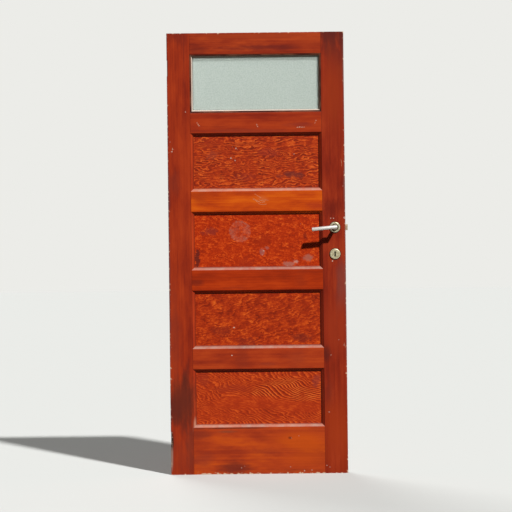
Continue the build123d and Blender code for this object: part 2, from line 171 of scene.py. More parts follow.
def varnishedSoftwood(name, look):
    material, tree = freshMaterial(name)
    place = addNode(tree, "ShaderNodeTexCoord", out=None)
    spot = place["Object"]
    parts = addNode(tree, "ShaderNodeSeparateXYZ", (spot,), out=None)
    facing = addNode(tree, "ShaderNodeSeparateXYZ", (place["Normal"],), out=None)
    wear = wornVarnish
    seed = look["seed"]

    # noise drawn out along the grain
    def grained(location, width, length, detail, roughness=0.5):
        across, along = 1 / width, 1 / length
        scale = (across, across, along) if look["grain"] == "Z" else (along, across, across)
        inputs = {"Vector": spot, "Location": location, "Scale": scale}
        place = addNode(tree, "ShaderNodeMapping", inputs)
        inputs = {"Vector": place, "Scale": 1.0, "Detail": detail, "Roughness": roughness}
        return addNode(tree, "ShaderNodeTexNoise", inputs)

    streak = grained((seed, seed, seed), look["streak"], look["streakRun"], 3.0, 0.6)
    band = grained((-seed, seed, 2 * seed), look["band"], look["bandRun"], 2.0)
    cloud = grained((seed, 0, seed), look["cloud"], look["cloudRun"], 5.0, 0.62)
    cloudShare = 1 - look["streakShare"] - look["bandShare"]
    shade = addNode(tree, "ShaderNodeMath", (streak, look["streakShare"]), operation="MULTIPLY")
    shade = addNode(
        tree, "ShaderNodeMath", (band, look["bandShare"], shade), operation="MULTIPLY_ADD"
    )
    shade = addNode(tree, "ShaderNodeMath", (cloud, cloudShare, shade), operation="MULTIPLY_ADD")
    tones = (look["deep"], look["body"], look["light"])
    colour = addNode(tree, "ShaderNodeValToRGB", (shade,), stops=zip(wear["tonePlaces"], tones))

    # stains and faded places: soft-edged ovals with a ragged rim
    stains = [(patch, wear["looseStain"]) for patch in look["patches"]]
    stains += [(patch, wear["solidStain"]) for patch in look.get("blocks", [])]
    for (*oval, hexCode, strength), (raggedness, rim, core) in stains:
        ragged = addNode(
            tree,
            "ShaderNodeMath",
            (cloud, raggedness, ovalReach(tree, spot, *oval)),
            operation="MULTIPLY_ADD",
        )
        mask = addNode(
            tree,
            "ShaderNodeMapRange",
            (ragged, rim, core, 0.0, strength),
            interpolation_type="SMOOTHSTEP",
        )
        colour = addNode(
            tree,
            "ShaderNodeMix",
            {"Factor": mask, "A": colour, "B": hexCode},
            out="Result",
            data_type="RGBA",
        )

    # dirt in the joints between stiles and rails
    sideways = addNode(tree, "ShaderNodeMath", (parts["X"], leafMiddle), operation="SUBTRACT")
    sideways = addNode(tree, "ShaderNodeMath", (sideways,), operation="ABSOLUTE")
    toJoint = addNode(
        tree, "ShaderNodeMath", (sideways, halfLeaf - leaf["shoulder"]), operation="SUBTRACT"
    )
    gap = addNode(tree, "ShaderNodeMath", (toJoint,), operation="ABSOLUTE")
    jointWidth = wear["jointHalfWidth"]
    joint = addNode(
        tree, "ShaderNodeMapRange", (gap, jointWidth, 0.2 * jointWidth, 0.0, wear["jointShare"])
    )
    colour = addNode(
        tree,
        "ShaderNodeMix",
        {"Factor": joint, "A": colour, "B": wear["jointDirt"]},
        out="Result",
        data_type="RGBA",
    )

    # darker towards the foot of each splay, where it runs down to its panel
    depth = wear["splayDepth"]
    splayFootDarkFrom = leaf["front"] + wear["splayFootDarkFrom"] * depth
    foot = leaf["front"] + depth
    splayFoot = addNode(
        tree,
        "ShaderNodeMapRange",
        (parts["Y"], splayFootDarkFrom, foot, 0.0, wear["splayFootDarkShare"]),
        interpolation_type="SMOOTHSTEP",
    )
    offFace = addNode(tree, "ShaderNodeMapRange", (facing["Y"], *wear["offFace"]))
    inFront = addNode(
        tree,
        "ShaderNodeMath",
        (parts["Y"], leaf["front"] + wear["splayFootDarkDepth"]),
        operation="LESS_THAN",
    )
    colour = addNode(
        tree,
        "ShaderNodeMix",
        {"Factor": product(tree, splayFoot, offFace, inFront), "A": colour, "B": wear["splayFootDark"]},
        out="Result",
        data_type="RGBA",
    )

    # a thin dark ring round each rose, fading out a little beyond its rim
    for x, z, radius, hexCode, strength in look.get("darkRingsRoundRoses", []):
        reach = ovalReach(tree, spot, x, z, radius, radius)
        rim = addNode(
            tree,
            "ShaderNodeMapRange",
            (reach, *wear["roseDarkRing"], 0.0, strength),
            interpolation_type="SMOOTHSTEP",
        )
        colour = addNode(
            tree,
            "ShaderNodeMix",
            {"Factor": rim, "A": colour, "B": hexCode},
            out="Result",
            data_type="RGBA",
        )

    # pale dust on the splays that face up, least at their foot, mixed with a painted sheen that
    # stands for the sky's reflection on them
    faceUp = addNode(
        tree, "ShaderNodeMapRange", (facing["Z"], *wear["dustAndSheenFacing"], 0.0, wear["dustAndSheenShare"])
    )
    patchy = addNode(
        tree,
        "ShaderNodeTexNoise",
        {"Vector": spot, "Scale": 1 / wear["dustAndSheenPatch"], "Detail": 4.0, "Roughness": 0.7},
    )
    heavier = addNode(tree, "ShaderNodeMapRange", (patchy, *wear["dustAndSheenClumps"]))
    dustAndSheenFrom = leaf["front"] + wear["dustAndSheenFrom"] * depth
    dustAndSheenFull = leaf["front"] + wear["dustAndSheenFull"] * depth
    offFoot = addNode(tree, "ShaderNodeMapRange", (parts["Y"], dustAndSheenFrom, dustAndSheenFull, 0.2))
    colour = addNode(
        tree,
        "ShaderNodeMix",
        {"Factor": product(tree, faceUp, offFoot, heavier), "A": colour, "B": wear["dustAndSheen"]},
        out="Result",
        data_type="RGBA",
    )

    # the hinges' recesses are bare and grubby
    height = addNode(tree, "ShaderNodeMath", (parts["Z"],), operation="ABSOLUTE")
    fromHinge = addNode(
        tree, "ShaderNodeMath", (height, hingeSeat["middle"]), operation="SUBTRACT"
    )
    fromHinge = addNode(tree, "ShaderNodeMath", (fromHinge,), operation="ABSOLUTE")
    seatHalf, seatDepth = hingeSeat["halfHeight"], hingeSeat["depth"]
    beside = addNode(tree, "ShaderNodeMapRange", (fromHinge, seatHalf + 2 * mm, seatHalf))
    within = addNode(
        tree, "ShaderNodeMapRange", (parts["X"], seatDepth + 1.6 * mm, seatDepth + 0.2 * mm)
    )
    underHinge = addNode(
        tree,
        "ShaderNodeMath",
        (parts["Y"], leaf["front"] + hingeSeat["width"]),
        operation="LESS_THAN",
    )
    recess = product(tree, beside, within, underHinge)
    colour = addNode(
        tree,
        "ShaderNodeMix",
        {"Factor": recess, "A": colour, "B": wear["recessWood"]},
        out="Result",
        data_type="RGBA",
    )

    # knocked arrises: bare wood within a ragged few millimetres of the leaf's outline
    fromSide = addNode(tree, "ShaderNodeMath", (halfLeaf, sideways), operation="SUBTRACT")
    fromEnd = addNode(tree, "ShaderNodeMath", (leaf["head"], height), operation="SUBTRACT")
    fromOutline = addNode(tree, "ShaderNodeMath", (fromSide, fromEnd), operation="MINIMUM")
    fromCore = addNode(tree, "ShaderNodeMath", (parts["Y"],), operation="ABSOLUTE")
    fromFace = addNode(tree, "ShaderNodeMath", (leaf["back"], fromCore), operation="SUBTRACT")
    fromArris = addNode(tree, "ShaderNodeMath", (fromOutline, fromFace), operation="MAXIMUM")
    knocks = addNode(
        tree,
        "ShaderNodeTexNoise",
        {"Vector": spot, "Scale": 1 / wear["chipSize"], "Detail": 5.0, "Roughness": 0.65},
    )
    threshold = look.get("chipThreshold", wear["chipThreshold"])
    bitten = addNode(tree, "ShaderNodeMath", (knocks, threshold), operation="SUBTRACT")
    bitten = product(tree, bitten, wear["chipReach"])
    beyond = addNode(tree, "ShaderNodeMath", (bitten, fromArris), operation="SUBTRACT")
    chip = addNode(tree, "ShaderNodeMapRange", (beyond, 0.0, wear["chipFade"]))
    colour = addNode(
        tree,
        "ShaderNodeMix",
        {"Factor": chip, "A": colour, "B": wear["bareWood"]},
        out="Result",
        data_type="RGBA",
    )

    # end grain drinks the varnish and goes dark
    endways = addNode(tree, "ShaderNodeMath", (facing[look["grain"]],), operation="ABSOLUTE")
    endGrain = addNode(
        tree, "ShaderNodeMapRange", (endways, *wear["endFacing"], 0.0, wear["endGrainShare"])
    )
    colour = addNode(
        tree,
        "ShaderNodeMix",
        {"Factor": endGrain, "A": colour, "B": wear["endGrain"]},
        out="Result",
        data_type="RGBA",
    )
    inputs = {"Height": streak, "Strength": 0.25, "Distance": wear["grainHeight"]}
    varnished(tree, colour, addNode(tree, "ShaderNodeBump", inputs))
    return material


softwood = {
    "grain": "X",
    "patches": [],
    "streak": 4.4 * mm,
    "streakRun": 420 * mm,
    "band": 26 * mm,
    "bandRun": 1100 * mm,
    "cloud": 42 * mm,
    "cloudRun": 190 * mm,
    "streakShare": 0.24,
    "bandShare": 0.22,
}
# (x, z, half width, half height, colour, strength) for each stain or faded place; a few, marked,
# are painted shade, sheen or highlight
members = {
    "hinge_stile": {
        "grain": "Z", "seed": 3.1, "deep": "#80220F", "body": "#982E11", "light": "#A83814",
        "chipThreshold": 0.55,
        "patches": [
            (0.055, 1.03, 0.09, 0.05, "#702014", 0.6), (0.081, 0.93, 0.004, 0.16, "#6E2016", 0.5),
            # the strip at x 0 down the hinge edge is painted shade on the side that faces away from
            # the light
            (0.06, -0.7, 0.08, 0.13, "#5A241A", 0.55), (0.0, -0.05, 0.007, 1.1, "#5E3436", 0.75),
            (0.02, -0.4, 0.03, 0.3, "#8A3420", 0.4), (0.03, 0.33, 0.03, 0.05, "#7E2E1E", 0.4),
            (0.05, -0.95, 0.06, 0.1, "#88301C", 0.5), (0.092, -0.9, 0.028, 0.1, "#6E3022", 0.5),
            (0.006, -0.872, 0.007, 0.042, "#33251D", 0.95),
            (0.004, -0.965, 0.006, 0.055, "#9A7C6E", 0.8),
            (0.114, -0.8, 0.01, 0.04, "#B8866E", 0.8),
        ],
        "blocks": [(0.058, -0.69, 0.08, 0.1, "#4E2218", 0.58)],
    },
    "lock_stile": {
        "grain": "Z", "seed": 7.7, "deep": "#741D0C", "body": "#8B2710", "light": "#9E3516",
        "chipThreshold": 0.575,
        "patches": [
            (0.79, 1.03, 0.12, 0.11, "#54201A", 0.85), (0.79, 0.92, 0.06, 0.1, "#6E2418", 0.5),
            (0.77, 0.75, 0.05, 0.18, "#9A3412", 0.7), (0.77, 0.21, 0.06, 0.05, "#6A1A0C", 0.7),
            # the grey-pink place low on this stile is a painted sheen; the pale strip down the lock
            # edge is worn varnish with a painted highlight along the arris
            (0.808, -0.13, 0.036, 0.13, "#854438", 0.5), (0.83, 0.05, 0.006, 1.1, "#85584E", 0.7),
            (0.77, -0.02, 0.04, 0.06, "#7A1C0C", 0.5), (0.735, -0.47, 0.02, 0.035, "#501812", 0.85),
            (0.745, -0.66, 0.03, 0.07, "#6A2418", 0.5), (0.78, -0.35, 0.06, 0.12, "#9A3216", 0.7),
            (0.78, -0.85, 0.07, 0.2, "#A03612", 0.8),
        ],
        # a thin dark ring round each of the two roses
        "darkRingsRoundRoses": [
            (spindleAxis.x, spindleAxis.z, 25 * mm, "#2E1210", 0.75),
            (keyAxis.x, keyAxis.z, 25 * mm, "#2E1210", 0.85),
        ],
    },
    "top_rail": {
        "seed": 11.3, "deep": "#7A200E", "body": "#932E13", "light": "#AE4018",
        "patches": [
            (0.4, 0.965, 0.2, 0.014, "#66201A", 0.65), (0.14, 0.955, 0.06, 0.03, "#6E2014", 0.6),
            (0.66, 1.00, 0.07, 0.03, "#A83C16", 0.6), (0.45, 1.02, 0.25, 0.012, "#A63E18", 0.6),
        ],
    },
    "glazing_rail": {
        "seed": 17.9, "deep": "#84220E", "body": "#9B2F11", "light": "#AB3A14",
        "patches": [
            (0.62, 0.6, 0.12, 0.015, "#7C2A22", 0.6), (0.25, 0.595, 0.1, 0.015, "#8A2A14", 0.5),
            (0.4, 0.575, 0.25, 0.008, "#8A3420", 0.5),
        ],
    },
    "upper_rail": {
        "seed": 23.2, "deep": "#A4320A", "body": "#C24708", "light": "#D55C0C",
        "patches": [
            (0.14, 0.26, 0.04, 0.04, "#A0360E", 0.6), (0.7, 0.22, 0.05, 0.02, "#A83412", 0.7),
            (0.44, 0.256, 0.03, 0.018, "#C8683A", 0.5),
        ],
    },
    "middle_rail": {
        "seed": 29.5, "deep": "#8C2506", "body": "#A32E06", "light": "#B63A0A",
        "patches": [
            (0.62, -0.12, 0.03, 0.05, "#8E2A0E", 0.5), (0.13, -0.14, 0.03, 0.015, "#702010", 0.6),
            (0.3, -0.16, 0.06, 0.01, "#902C14", 0.4),
        ],
    },
    "lower_rail": {
        "seed": 31.4, "deep": "#8A2812", "body": "#A23514", "light": "#B34218",
        "patches": [
            (0.34, -0.49, 0.03, 0.05, "#8A2D16", 0.5), (0.6, -0.5, 0.05, 0.04, "#97361C", 0.5),
            (0.46, -0.52, 0.05, 0.012, "#8C3420", 0.5),
        ],
    },
    "bottom_rail": {
        "seed": 37.8, "deep": "#942F15", "body": "#AD3D16", "light": "#BF4A14",
        "chipThreshold": 0.48, "bandShare": 0.12, "cloud": 60 * mm, "cloudRun": 210 * mm,
        "patches": [
            (0.3, -1.00, 0.08, 0.028, "#64241A", 0.7), (0.44, -0.93, 0.1, 0.02, "#8A2E1A", 0.5),
            (0.28, -0.8185, 0.2, 0.004, "#4A2418", 0.75), (0.15, -0.85, 0.05, 0.02, "#7E2C1A", 0.6),
            (0.16, -0.98, 0.05, 0.04, "#8C3420", 0.5), (0.62, -0.88, 0.12, 0.045, "#C8500F", 0.7),
            (0.62, -0.97, 0.1, 0.03, "#C04A12", 0.5), (0.26, -0.835, 0.045, 0.006, "#6E4630", 0.4),
            (0.6, -1.02, 0.12, 0.01, "#8E3418", 0.5),
            (0.559, -0.867, 0.009, 0.006, "#4A1E12", 0.75),
        ],
    },
    "wedges": {
        "seed": 47.0, "deep": "#7A2413", "body": "#943019", "light": "#A33C1E",
    },
}
woodOf = {}
for name, look in members.items():
    woodOf[name] = varnishedSoftwood("varnished_softwood_" + name, {**softwood, **look})
print("door: softwood varnish mixed for", len(woodOf), "pieces")

# Rotary-cut plywood under the same varnish: the knife crosses the growth rings in waves, so
# bright early wood fades into dark late wood and breaks off sharply, in flames with fine flecks
figured = {
    "ringFade": [(0.0, 1.0), (0.4, 0.5), (0.78, 0.0), (0.9, 0.1), (1.0, 1.0)],
    "ringHeight": 0.3 * mm,
    "curlFade": (1.2, 0.5),
    "plainFade": (0.6, 1.2),
    "clouds": (0.38, 0.6),
    "tonePlaces": (0.05, 0.5, 0.78, 1.0),
    "stainRaggedness": (1.2, 2.4),  # by the flecks and by the blotches
    "stainFade": (3.0, 2.4),
    "bloomEdge": (1.05, 0.9),
    "bloomRim": (0.3, 0.95, 0.35),
    "bloomCreep": 0.5,
    "bloomBreak": 17 * mm,
    "bloomHeld": (0.4, 0.58, 0.12),
}


def varnishedPlywood(name, look):
    material, tree = freshMaterial(name)
    spot = addNode(tree, "ShaderNodeTexCoord", out="Object")
    seed = look["seed"]
    slope = (0, math.radians(look["slope"]), 0)

    # noise drawn out along the panel
    def drawn(location, run, rise, detail, roughness, distortion=0.0, turned=(0, 0, 0)):
        place = addNode(
            tree,
            "ShaderNodeMapping",
            {
                "Vector": spot,
                "Location": location,
                "Rotation": turned,
                "Scale": (1 / run, 1.0, 1 / rise),
            },
        )
        return addNode(
            tree,
            "ShaderNodeTexNoise",
            {
                "Vector": place,
                "Scale": 1.0,
                "Detail": detail,
                "Roughness": roughness,
                "Distortion": distortion,
            },
        )

    swell = drawn(
        (seed, 0, seed), look["run"], look["rise"], look["detail"], 0.45, look["distortion"], slope
    )
    wiggle = drawn((0, 0, seed), look["wiggleRun"], look["wiggleRise"], 3.0, 0.55)
    fleck = drawn((seed, 0, 2 * seed), look["fleckRun"], look["fleckRise"], 2.5, 0.6, 0.8, slope)
    blotch = addNode(
        tree,
        "ShaderNodeTexNoise",
        {"Vector": spot, "Scale": 1 / look["blotch"], "Detail": 5.0, "Roughness": 0.65},
    )

    # the growth rings, their curl and where they stand out
    curl = look["wiggleRings"]
    for *oval, extra in look["curlPlaces"]:
        reach = ovalReach(tree, spot, *oval)
        more = addNode(
            tree,
            "ShaderNodeMapRange",
            (reach, *figured["curlFade"], 0.0, extra),
            interpolation_type="SMOOTHSTEP",
        )
        curl = addNode(tree, "ShaderNodeMath", (more, curl), operation="ADD")
    inputs = (spot, look["lean"])
    lean = addNode(tree, "ShaderNodeVectorMath", inputs, out="Value", operation="DOT_PRODUCT")
    rings = addNode(tree, "ShaderNodeMath", (swell, look["rings"], lean), operation="MULTIPLY_ADD")
    rings = addNode(tree, "ShaderNodeMath", (wiggle, curl, rings), operation="MULTIPLY_ADD")
    ring = addNode(tree, "ShaderNodeMath", (rings,), operation="FRACT")
    fade = [(position, (grey, grey, grey, 1)) for position, grey in figured["ringFade"]]
    ringTone = addNode(tree, "ShaderNodeValToRGB", {"Fac": ring}, stops=fade)
    cloud = addNode(
        tree, "ShaderNodeTexNoise", {"Vector": spot, "Scale": 1 / look["cloud"], "Detail": 3.0}
    )
    figure = addNode(
        tree,
        "ShaderNodeMapRange",
        (cloud, *figured["clouds"], look["plainFigure"], look["fullFigure"]),
    )
    for *oval, strength in look["plainPlaces"]:
        reach = ovalReach(tree, spot, *oval)
        kept = addNode(
            tree,
            "ShaderNodeMapRange",
            (reach, *figured["plainFade"], 1 - strength),
            interpolation_type="SMOOTHSTEP",
        )
        figure = product(tree, figure, kept)
    tone = 0.5
    shares = ((ringTone, figure), (fleck, look["fleckShare"]), (blotch, look["blotchShare"]))
    for part, share in shares:
        swing = addNode(tree, "ShaderNodeMath", (part, 0.5), operation="SUBTRACT")
        tone = addNode(tree, "ShaderNodeMath", (swing, share, tone), operation="MULTIPLY_ADD")
    colours = (look["late"], look["body"], look["early"], look["bright"])
    places = figured["tonePlaces"]
    colour = addNode(tree, "ShaderNodeValToRGB", (tone,), stops=zip(places, colours))

    # stains lie on the face that shows in the photo and don't come through to the back
    depth = addNode(tree, "ShaderNodeSeparateXYZ", (spot,), out="Y")
    onFront = addNode(tree, "ShaderNodeMath", (depth, 0.0), operation="LESS_THAN")
    for *oval, hexCode, strength in look["patches"]:
        ragged = ovalReach(tree, spot, *oval)
        for part, raggedness in zip((fleck, blotch), figured["stainRaggedness"]):
            ragged = addNode(
                tree, "ShaderNodeMath", (part, raggedness, ragged), operation="MULTIPLY_ADD"
            )
        mask = addNode(
            tree,
            "ShaderNodeMapRange",
            (ragged, *figured["stainFade"], 0.0, strength),
            interpolation_type="SMOOTHSTEP",
        )
        colour = addNode(
            tree,
            "ShaderNodeMix",
            {"Factor": product(tree, mask, onFront), "A": colour, "B": hexCode},
            out="Result",
            data_type="RGBA",
        )

    # pale round blooms where wet stood and got under the varnish, broken where it held
    for x, z, radius, hexCode, strength in look["blooms"]:
        reach = ovalReach(tree, spot, x, z, radius, radius)
        reach = addNode(
            tree, "ShaderNodeMath", (blotch, figured["bloomCreep"], reach), operation="MULTIPLY_ADD"
        )
        reach = addNode(
            tree, "ShaderNodeMath", (reach, figured["bloomCreep"] / 2), operation="SUBTRACT"
        )
        inside = addNode(
            tree,
            "ShaderNodeMapRange",
            (reach, *figured["bloomEdge"], 0.0, strength),
            interpolation_type="SMOOTHSTEP",
        )
        rim = addNode(tree, "ShaderNodeMapRange", (reach, *figured["bloomRim"]))
        broken = addNode(
            tree,
            "ShaderNodeTexNoise",
            {"Vector": spot, "Scale": 1 / figured["bloomBreak"], "Detail": 4.0, "Roughness": 0.7},
        )
        held = addNode(tree, "ShaderNodeMapRange", (broken, *figured["bloomHeld"]))
        colour = addNode(
            tree,
            "ShaderNodeMix",
            {"Factor": product(tree, inside, rim, held, onFront), "A": colour, "B": hexCode},
            out="Result",
            data_type="RGBA",
        )
    inputs = {"Height": ring, "Strength": 0.12, "Distance": figured["ringHeight"]}
    varnished(tree, colour, addNode(tree, "ShaderNodeBump", inputs))
    return material


plywood = {"detail": 2.0, "distortion": 0.6, "curlPlaces": [], "plainPlaces": [], "blooms": []}
# places and stains as (x, z, half width, half height, ...), blooms as (x, z, radius, ...)
panels = {
    "top_panel": {
        "seed": 4.0, "slope": 5, "run": 150 * mm, "rise": 50 * mm, "detail": 1.5, "distortion": 0.6,
        "rings": 8.0, "lean": (0, 0, 72), "wiggleRun": 36 * mm, "wiggleRise": 17 * mm,
        "wiggleRings": 2.6,
        "curlPlaces": [(0.3, 0.42, 0.08, 0.04, 1.5), (0.5, 0.45, 0.06, 0.04, 1.2)],
        "late": "#74200E", "body": "#A43010", "early": "#CC4E18", "bright": "#DD6828",
        "cloud": 60 * mm, "plainFigure": 0.35, "fullFigure": 0.85, "fleckRun": 19 * mm,
        "fleckRise": 4.5 * mm, "fleckShare": 1.15, "blotch": 40 * mm, "blotchShare": 0.8,
        "patches": [
            (0.585, 0.368, 0.045, 0.016, "#6E2A22", 0.8),
            (0.525, 0.362, 0.02, 0.01, "#7E2C20", 0.6), (0.2, 0.52, 0.06, 0.03, "#942C14", 0.4),
            (0.21, 0.462, 0.03, 0.02, "#9A4630", 0.3), (0.36, 0.36, 0.05, 0.02, "#8A2A1C", 0.5),
            (0.47, 0.475, 0.05, 0.02, "#8E2E22", 0.4),
        ],
    },
    "second_panel": {
        "seed": 9.0, "slope": 24, "run": 60 * mm, "rise": 36 * mm, "rings": 4.0,
        "lean": (12, 0, 34), "wiggleRun": 15 * mm, "wiggleRise": 11 * mm, "wiggleRings": 1.6,
        "late": "#8A2206", "body": "#AE2E06", "early": "#CF4A12", "bright": "#E06822",
        "cloud": 46 * mm, "plainFigure": 0.15, "fullFigure": 0.5, "fleckRun": 8 * mm,
        "fleckRise": 5 * mm, "fleckShare": 1.2, "blotch": 30 * mm, "blotchShare": 0.9,
        "patches": [
            (0.133, -0.03, 0.013, 0.05, "#561C16", 0.85),
            (0.19, 0.105, 0.045, 0.018, "#7E2A22", 0.6),
            (0.655, -0.024, 0.024, 0.019, "#A8604E", 0.78),
            (0.562, -0.052, 0.034, 0.01, "#AC6656", 0.8),
            (0.595, -0.042, 0.012, 0.01, "#C08474", 0.85),
            (0.44, 0.005, 0.012, 0.02, "#A0625A", 0.6), (0.46, 0.025, 0.01, 0.008, "#A0625A", 0.5),
            (0.64, 0.078, 0.012, 0.014, "#741A0E", 0.7), (0.44, 0.06, 0.05, 0.03, "#922408", 0.5),
            (0.36, -0.05, 0.04, 0.03, "#97290F", 0.5),
        ],
        "blooms": [(0.3355, 0.103, 0.051, "#BC8470", 0.34)],
    },
    "third_panel": {
        "seed": 15.0, "slope": -14, "run": 80 * mm, "rise": 36 * mm, "rings": 4.0,
        "lean": (-16, 0, 44), "wiggleRun": 24 * mm, "wiggleRise": 12 * mm, "wiggleRings": 1.8,
        "curlPlaces": [(0.25, -0.38, 0.12, 0.06, 0.8)], "late": "#7A1E08", "body": "#A22E0C",
        "early": "#C64812", "bright": "#DA6220", "cloud": 50 * mm, "plainFigure": 0.15,
        "fullFigure": 0.55, "fleckRun": 13 * mm, "fleckRise": 4.5 * mm, "fleckShare": 1.15,
        "blotch": 44 * mm, "blotchShare": 1.5,
        "patches": [
            (0.25, -0.36, 0.05, 0.03, "#842814", 0.5), (0.62, -0.4, 0.05, 0.025, "#742416", 0.6),
            (0.36, -0.42, 0.05, 0.03, "#842A18", 0.4),
        ],
    },
    "bottom_panel": {
        "seed": 21.0, "slope": 20, "run": 200 * mm, "rise": 80 * mm, "detail": 0.6,
        "distortion": 0.3, "rings": 9.0, "lean": (42, 0, 84), "wiggleRun": 42 * mm,
        "wiggleRise": 22 * mm, "wiggleRings": 1.2,
        "curlPlaces": [
            (0.16, -0.64, 0.14, 0.1, 2.2), (0.4, -0.585, 0.25, 0.03, 2.0),
            (0.24, -0.76, 0.16, 0.03, 2.6), (0.6, -0.77, 0.14, 0.02, 2.0),
            (0.68, -0.6, 0.05, 0.03, 2.0),
        ],
        "late": "#7E220C", "body": "#AA3310", "early": "#D0521A", "bright": "#E0702C",
        "cloud": 70 * mm, "plainFigure": 0.4, "fullFigure": 0.62, "fleckRun": 22 * mm,
        "fleckRise": 5 * mm, "fleckShare": 0.7, "blotch": 60 * mm, "blotchShare": 0.7,
        "plainPlaces": [
            (0.38, -0.7, 0.2, 0.034, 0.8), (0.62, -0.725, 0.12, 0.03, 0.8),
            (0.19, -0.755, 0.1, 0.03, 0.4), (0.56, -0.645, 0.2, 0.06, -1.0),
        ],
        "patches": [
            (0.16, -0.59, 0.03, 0.03, "#8A2A18", 0.5), (0.69, -0.6, 0.02, 0.03, "#8A3428", 0.6),
            (0.28, -0.63, 0.08, 0.02, "#963018", 0.4),
        ],
    },
}


def coat(nodeName, material):
    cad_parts[nodeName].data.materials.clear()
    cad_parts[nodeName].data.materials.append(material)


for name, look in panels.items():
    coat(name, varnishedPlywood("varnished_plywood_" + name, {**plywood, **look}))
print("door: four plywood panels figured")

# Glazing bead: its flat keeps dark old varnish; where rain runs off the glass it is washed pale,
# and its splays that face up and to the right, toward the key lamp, are paler still as painted
# light
beadWearAndLight = {
    "flat": "#45190F",
    "flatLight": "#70402C",
    "worn": "#A89684",
    "wornLight": "#D2C2B4",
    "grain": 2.4 * mm,
    # the paleness kept on splays that face away from the light: painted shade
    "smears": 14.0,
    "shadedSplayShare": 0.75,
    "paleFrom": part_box("bottom_bead")[0].y + 1.5 * mm,
    "paleFade": 1.5 * mm,
    "roughness": 0.6,
}


def beadWornAndLit(name, look):
    material, tree = freshMaterial(name)
    place = addNode(tree, "ShaderNodeTexCoord", out=None)
    spot = place["Object"]
    smears = addNode(
        tree, "ShaderNodeTexNoise", {"Vector": spot, "Scale": look["smears"], "Detail": 4.0}
    )
    stops = ((0.44, look["flat"]), (0.62, look["flatLight"]))
    old = addNode(tree, "ShaderNodeValToRGB", (smears,), stops=stops)
    grain = addNode(
        tree,
        "ShaderNodeTexNoise",
        {"Vector": spot, "Scale": 1 / look["grain"], "Detail": 3.0, "Roughness": 0.6},
    )
    stops = ((0.36, look["worn"]), (0.6, look["wornLight"]))
    pale = addNode(tree, "ShaderNodeValToRGB", (grain,), stops=stops)
    facing = addNode(tree, "ShaderNodeSeparateXYZ", (place["Normal"],), out=None)
    # painted light: splays that face up and to the right, toward the key lamp, come out paler
    paintedLitSplay = addNode(tree, "ShaderNodeMath", (facing["X"], facing["Z"]), operation="ADD")
    paintedLitSplay = addNode(tree, "ShaderNodeMapRange", (paintedLitSplay, 0.3, 0.6))
    depth = addNode(tree, "ShaderNodeSeparateXYZ", (spot,), out="Y")
    palest = look["paleFrom"] + look["paleFade"]
    nearGlass = addNode(tree, "ShaderNodeMapRange", (depth, look["paleFrom"], palest))
    onSplay = product(tree, paintedLitSplay, nearGlass)
    onSplay = addNode(tree, "ShaderNodeMapRange", (onSplay, 0.0, 1.0, look["shadedSplayShare"]))
    inputs = {"Factor": product(tree, onSplay, nearGlass), "A": old, "B": pale}
    washed = addNode(tree, "ShaderNodeMix", inputs, out="Result", data_type="RGBA")
    finish = {"Base Color": washed, "Roughness": look["roughness"]}
    finish["Specular IOR Level"] = wornVarnish["specular"]
    surfaced(tree, finish)
    return material


beadWood = beadWornAndLit("softwood_bead_washed_with_painted_light", beadWearAndLight)

# Figured rolled glass: pale sage, too rough to see through, its far side stippled
obscure = {
    "deeper": "#AEBAB2",
    "paler": "#C9D1CB",
    "stipple": 3.2 * mm,
    "stippleHeight": 0.5 * mm,
    "throughShare": 0.75,
    "roughness": 0.55,
    "ior": 1.52,
    "specular": 0.3,
}


def obscureGlass(name, look):
    material, tree = freshMaterial(name)
    spot = addNode(tree, "ShaderNodeTexCoord", out="Object")
    inputs = {"Vector": spot, "Scale": 1 / look["stipple"]}
    pearls = addNode(tree, "ShaderNodeTexVoronoi", inputs, out="Distance", feature="SMOOTH_F1")
    fleck = addNode(
        tree,
        "ShaderNodeTexNoise",
        {"Vector": spot, "Scale": 1 / (2 * look["stipple"]), "Detail": 2.0},
    )
    stops = ((0.3, look["deeper"]), (0.7, look["paler"]))
    surfaced(
        tree,
        {
            "Base Color": addNode(tree, "ShaderNodeValToRGB", (fleck,), stops=stops),
            "Roughness": look["roughness"],
            "IOR": look["ior"],
            "Transmission Weight": look["throughShare"],
            "Specular IOR Level": look["specular"],
            "Normal": addNode(
                tree,
                "ShaderNodeBump",
                {"Height": pearls, "Strength": 0.5, "Distance": look["stippleHeight"]},
            ),
        },
    )
    return material


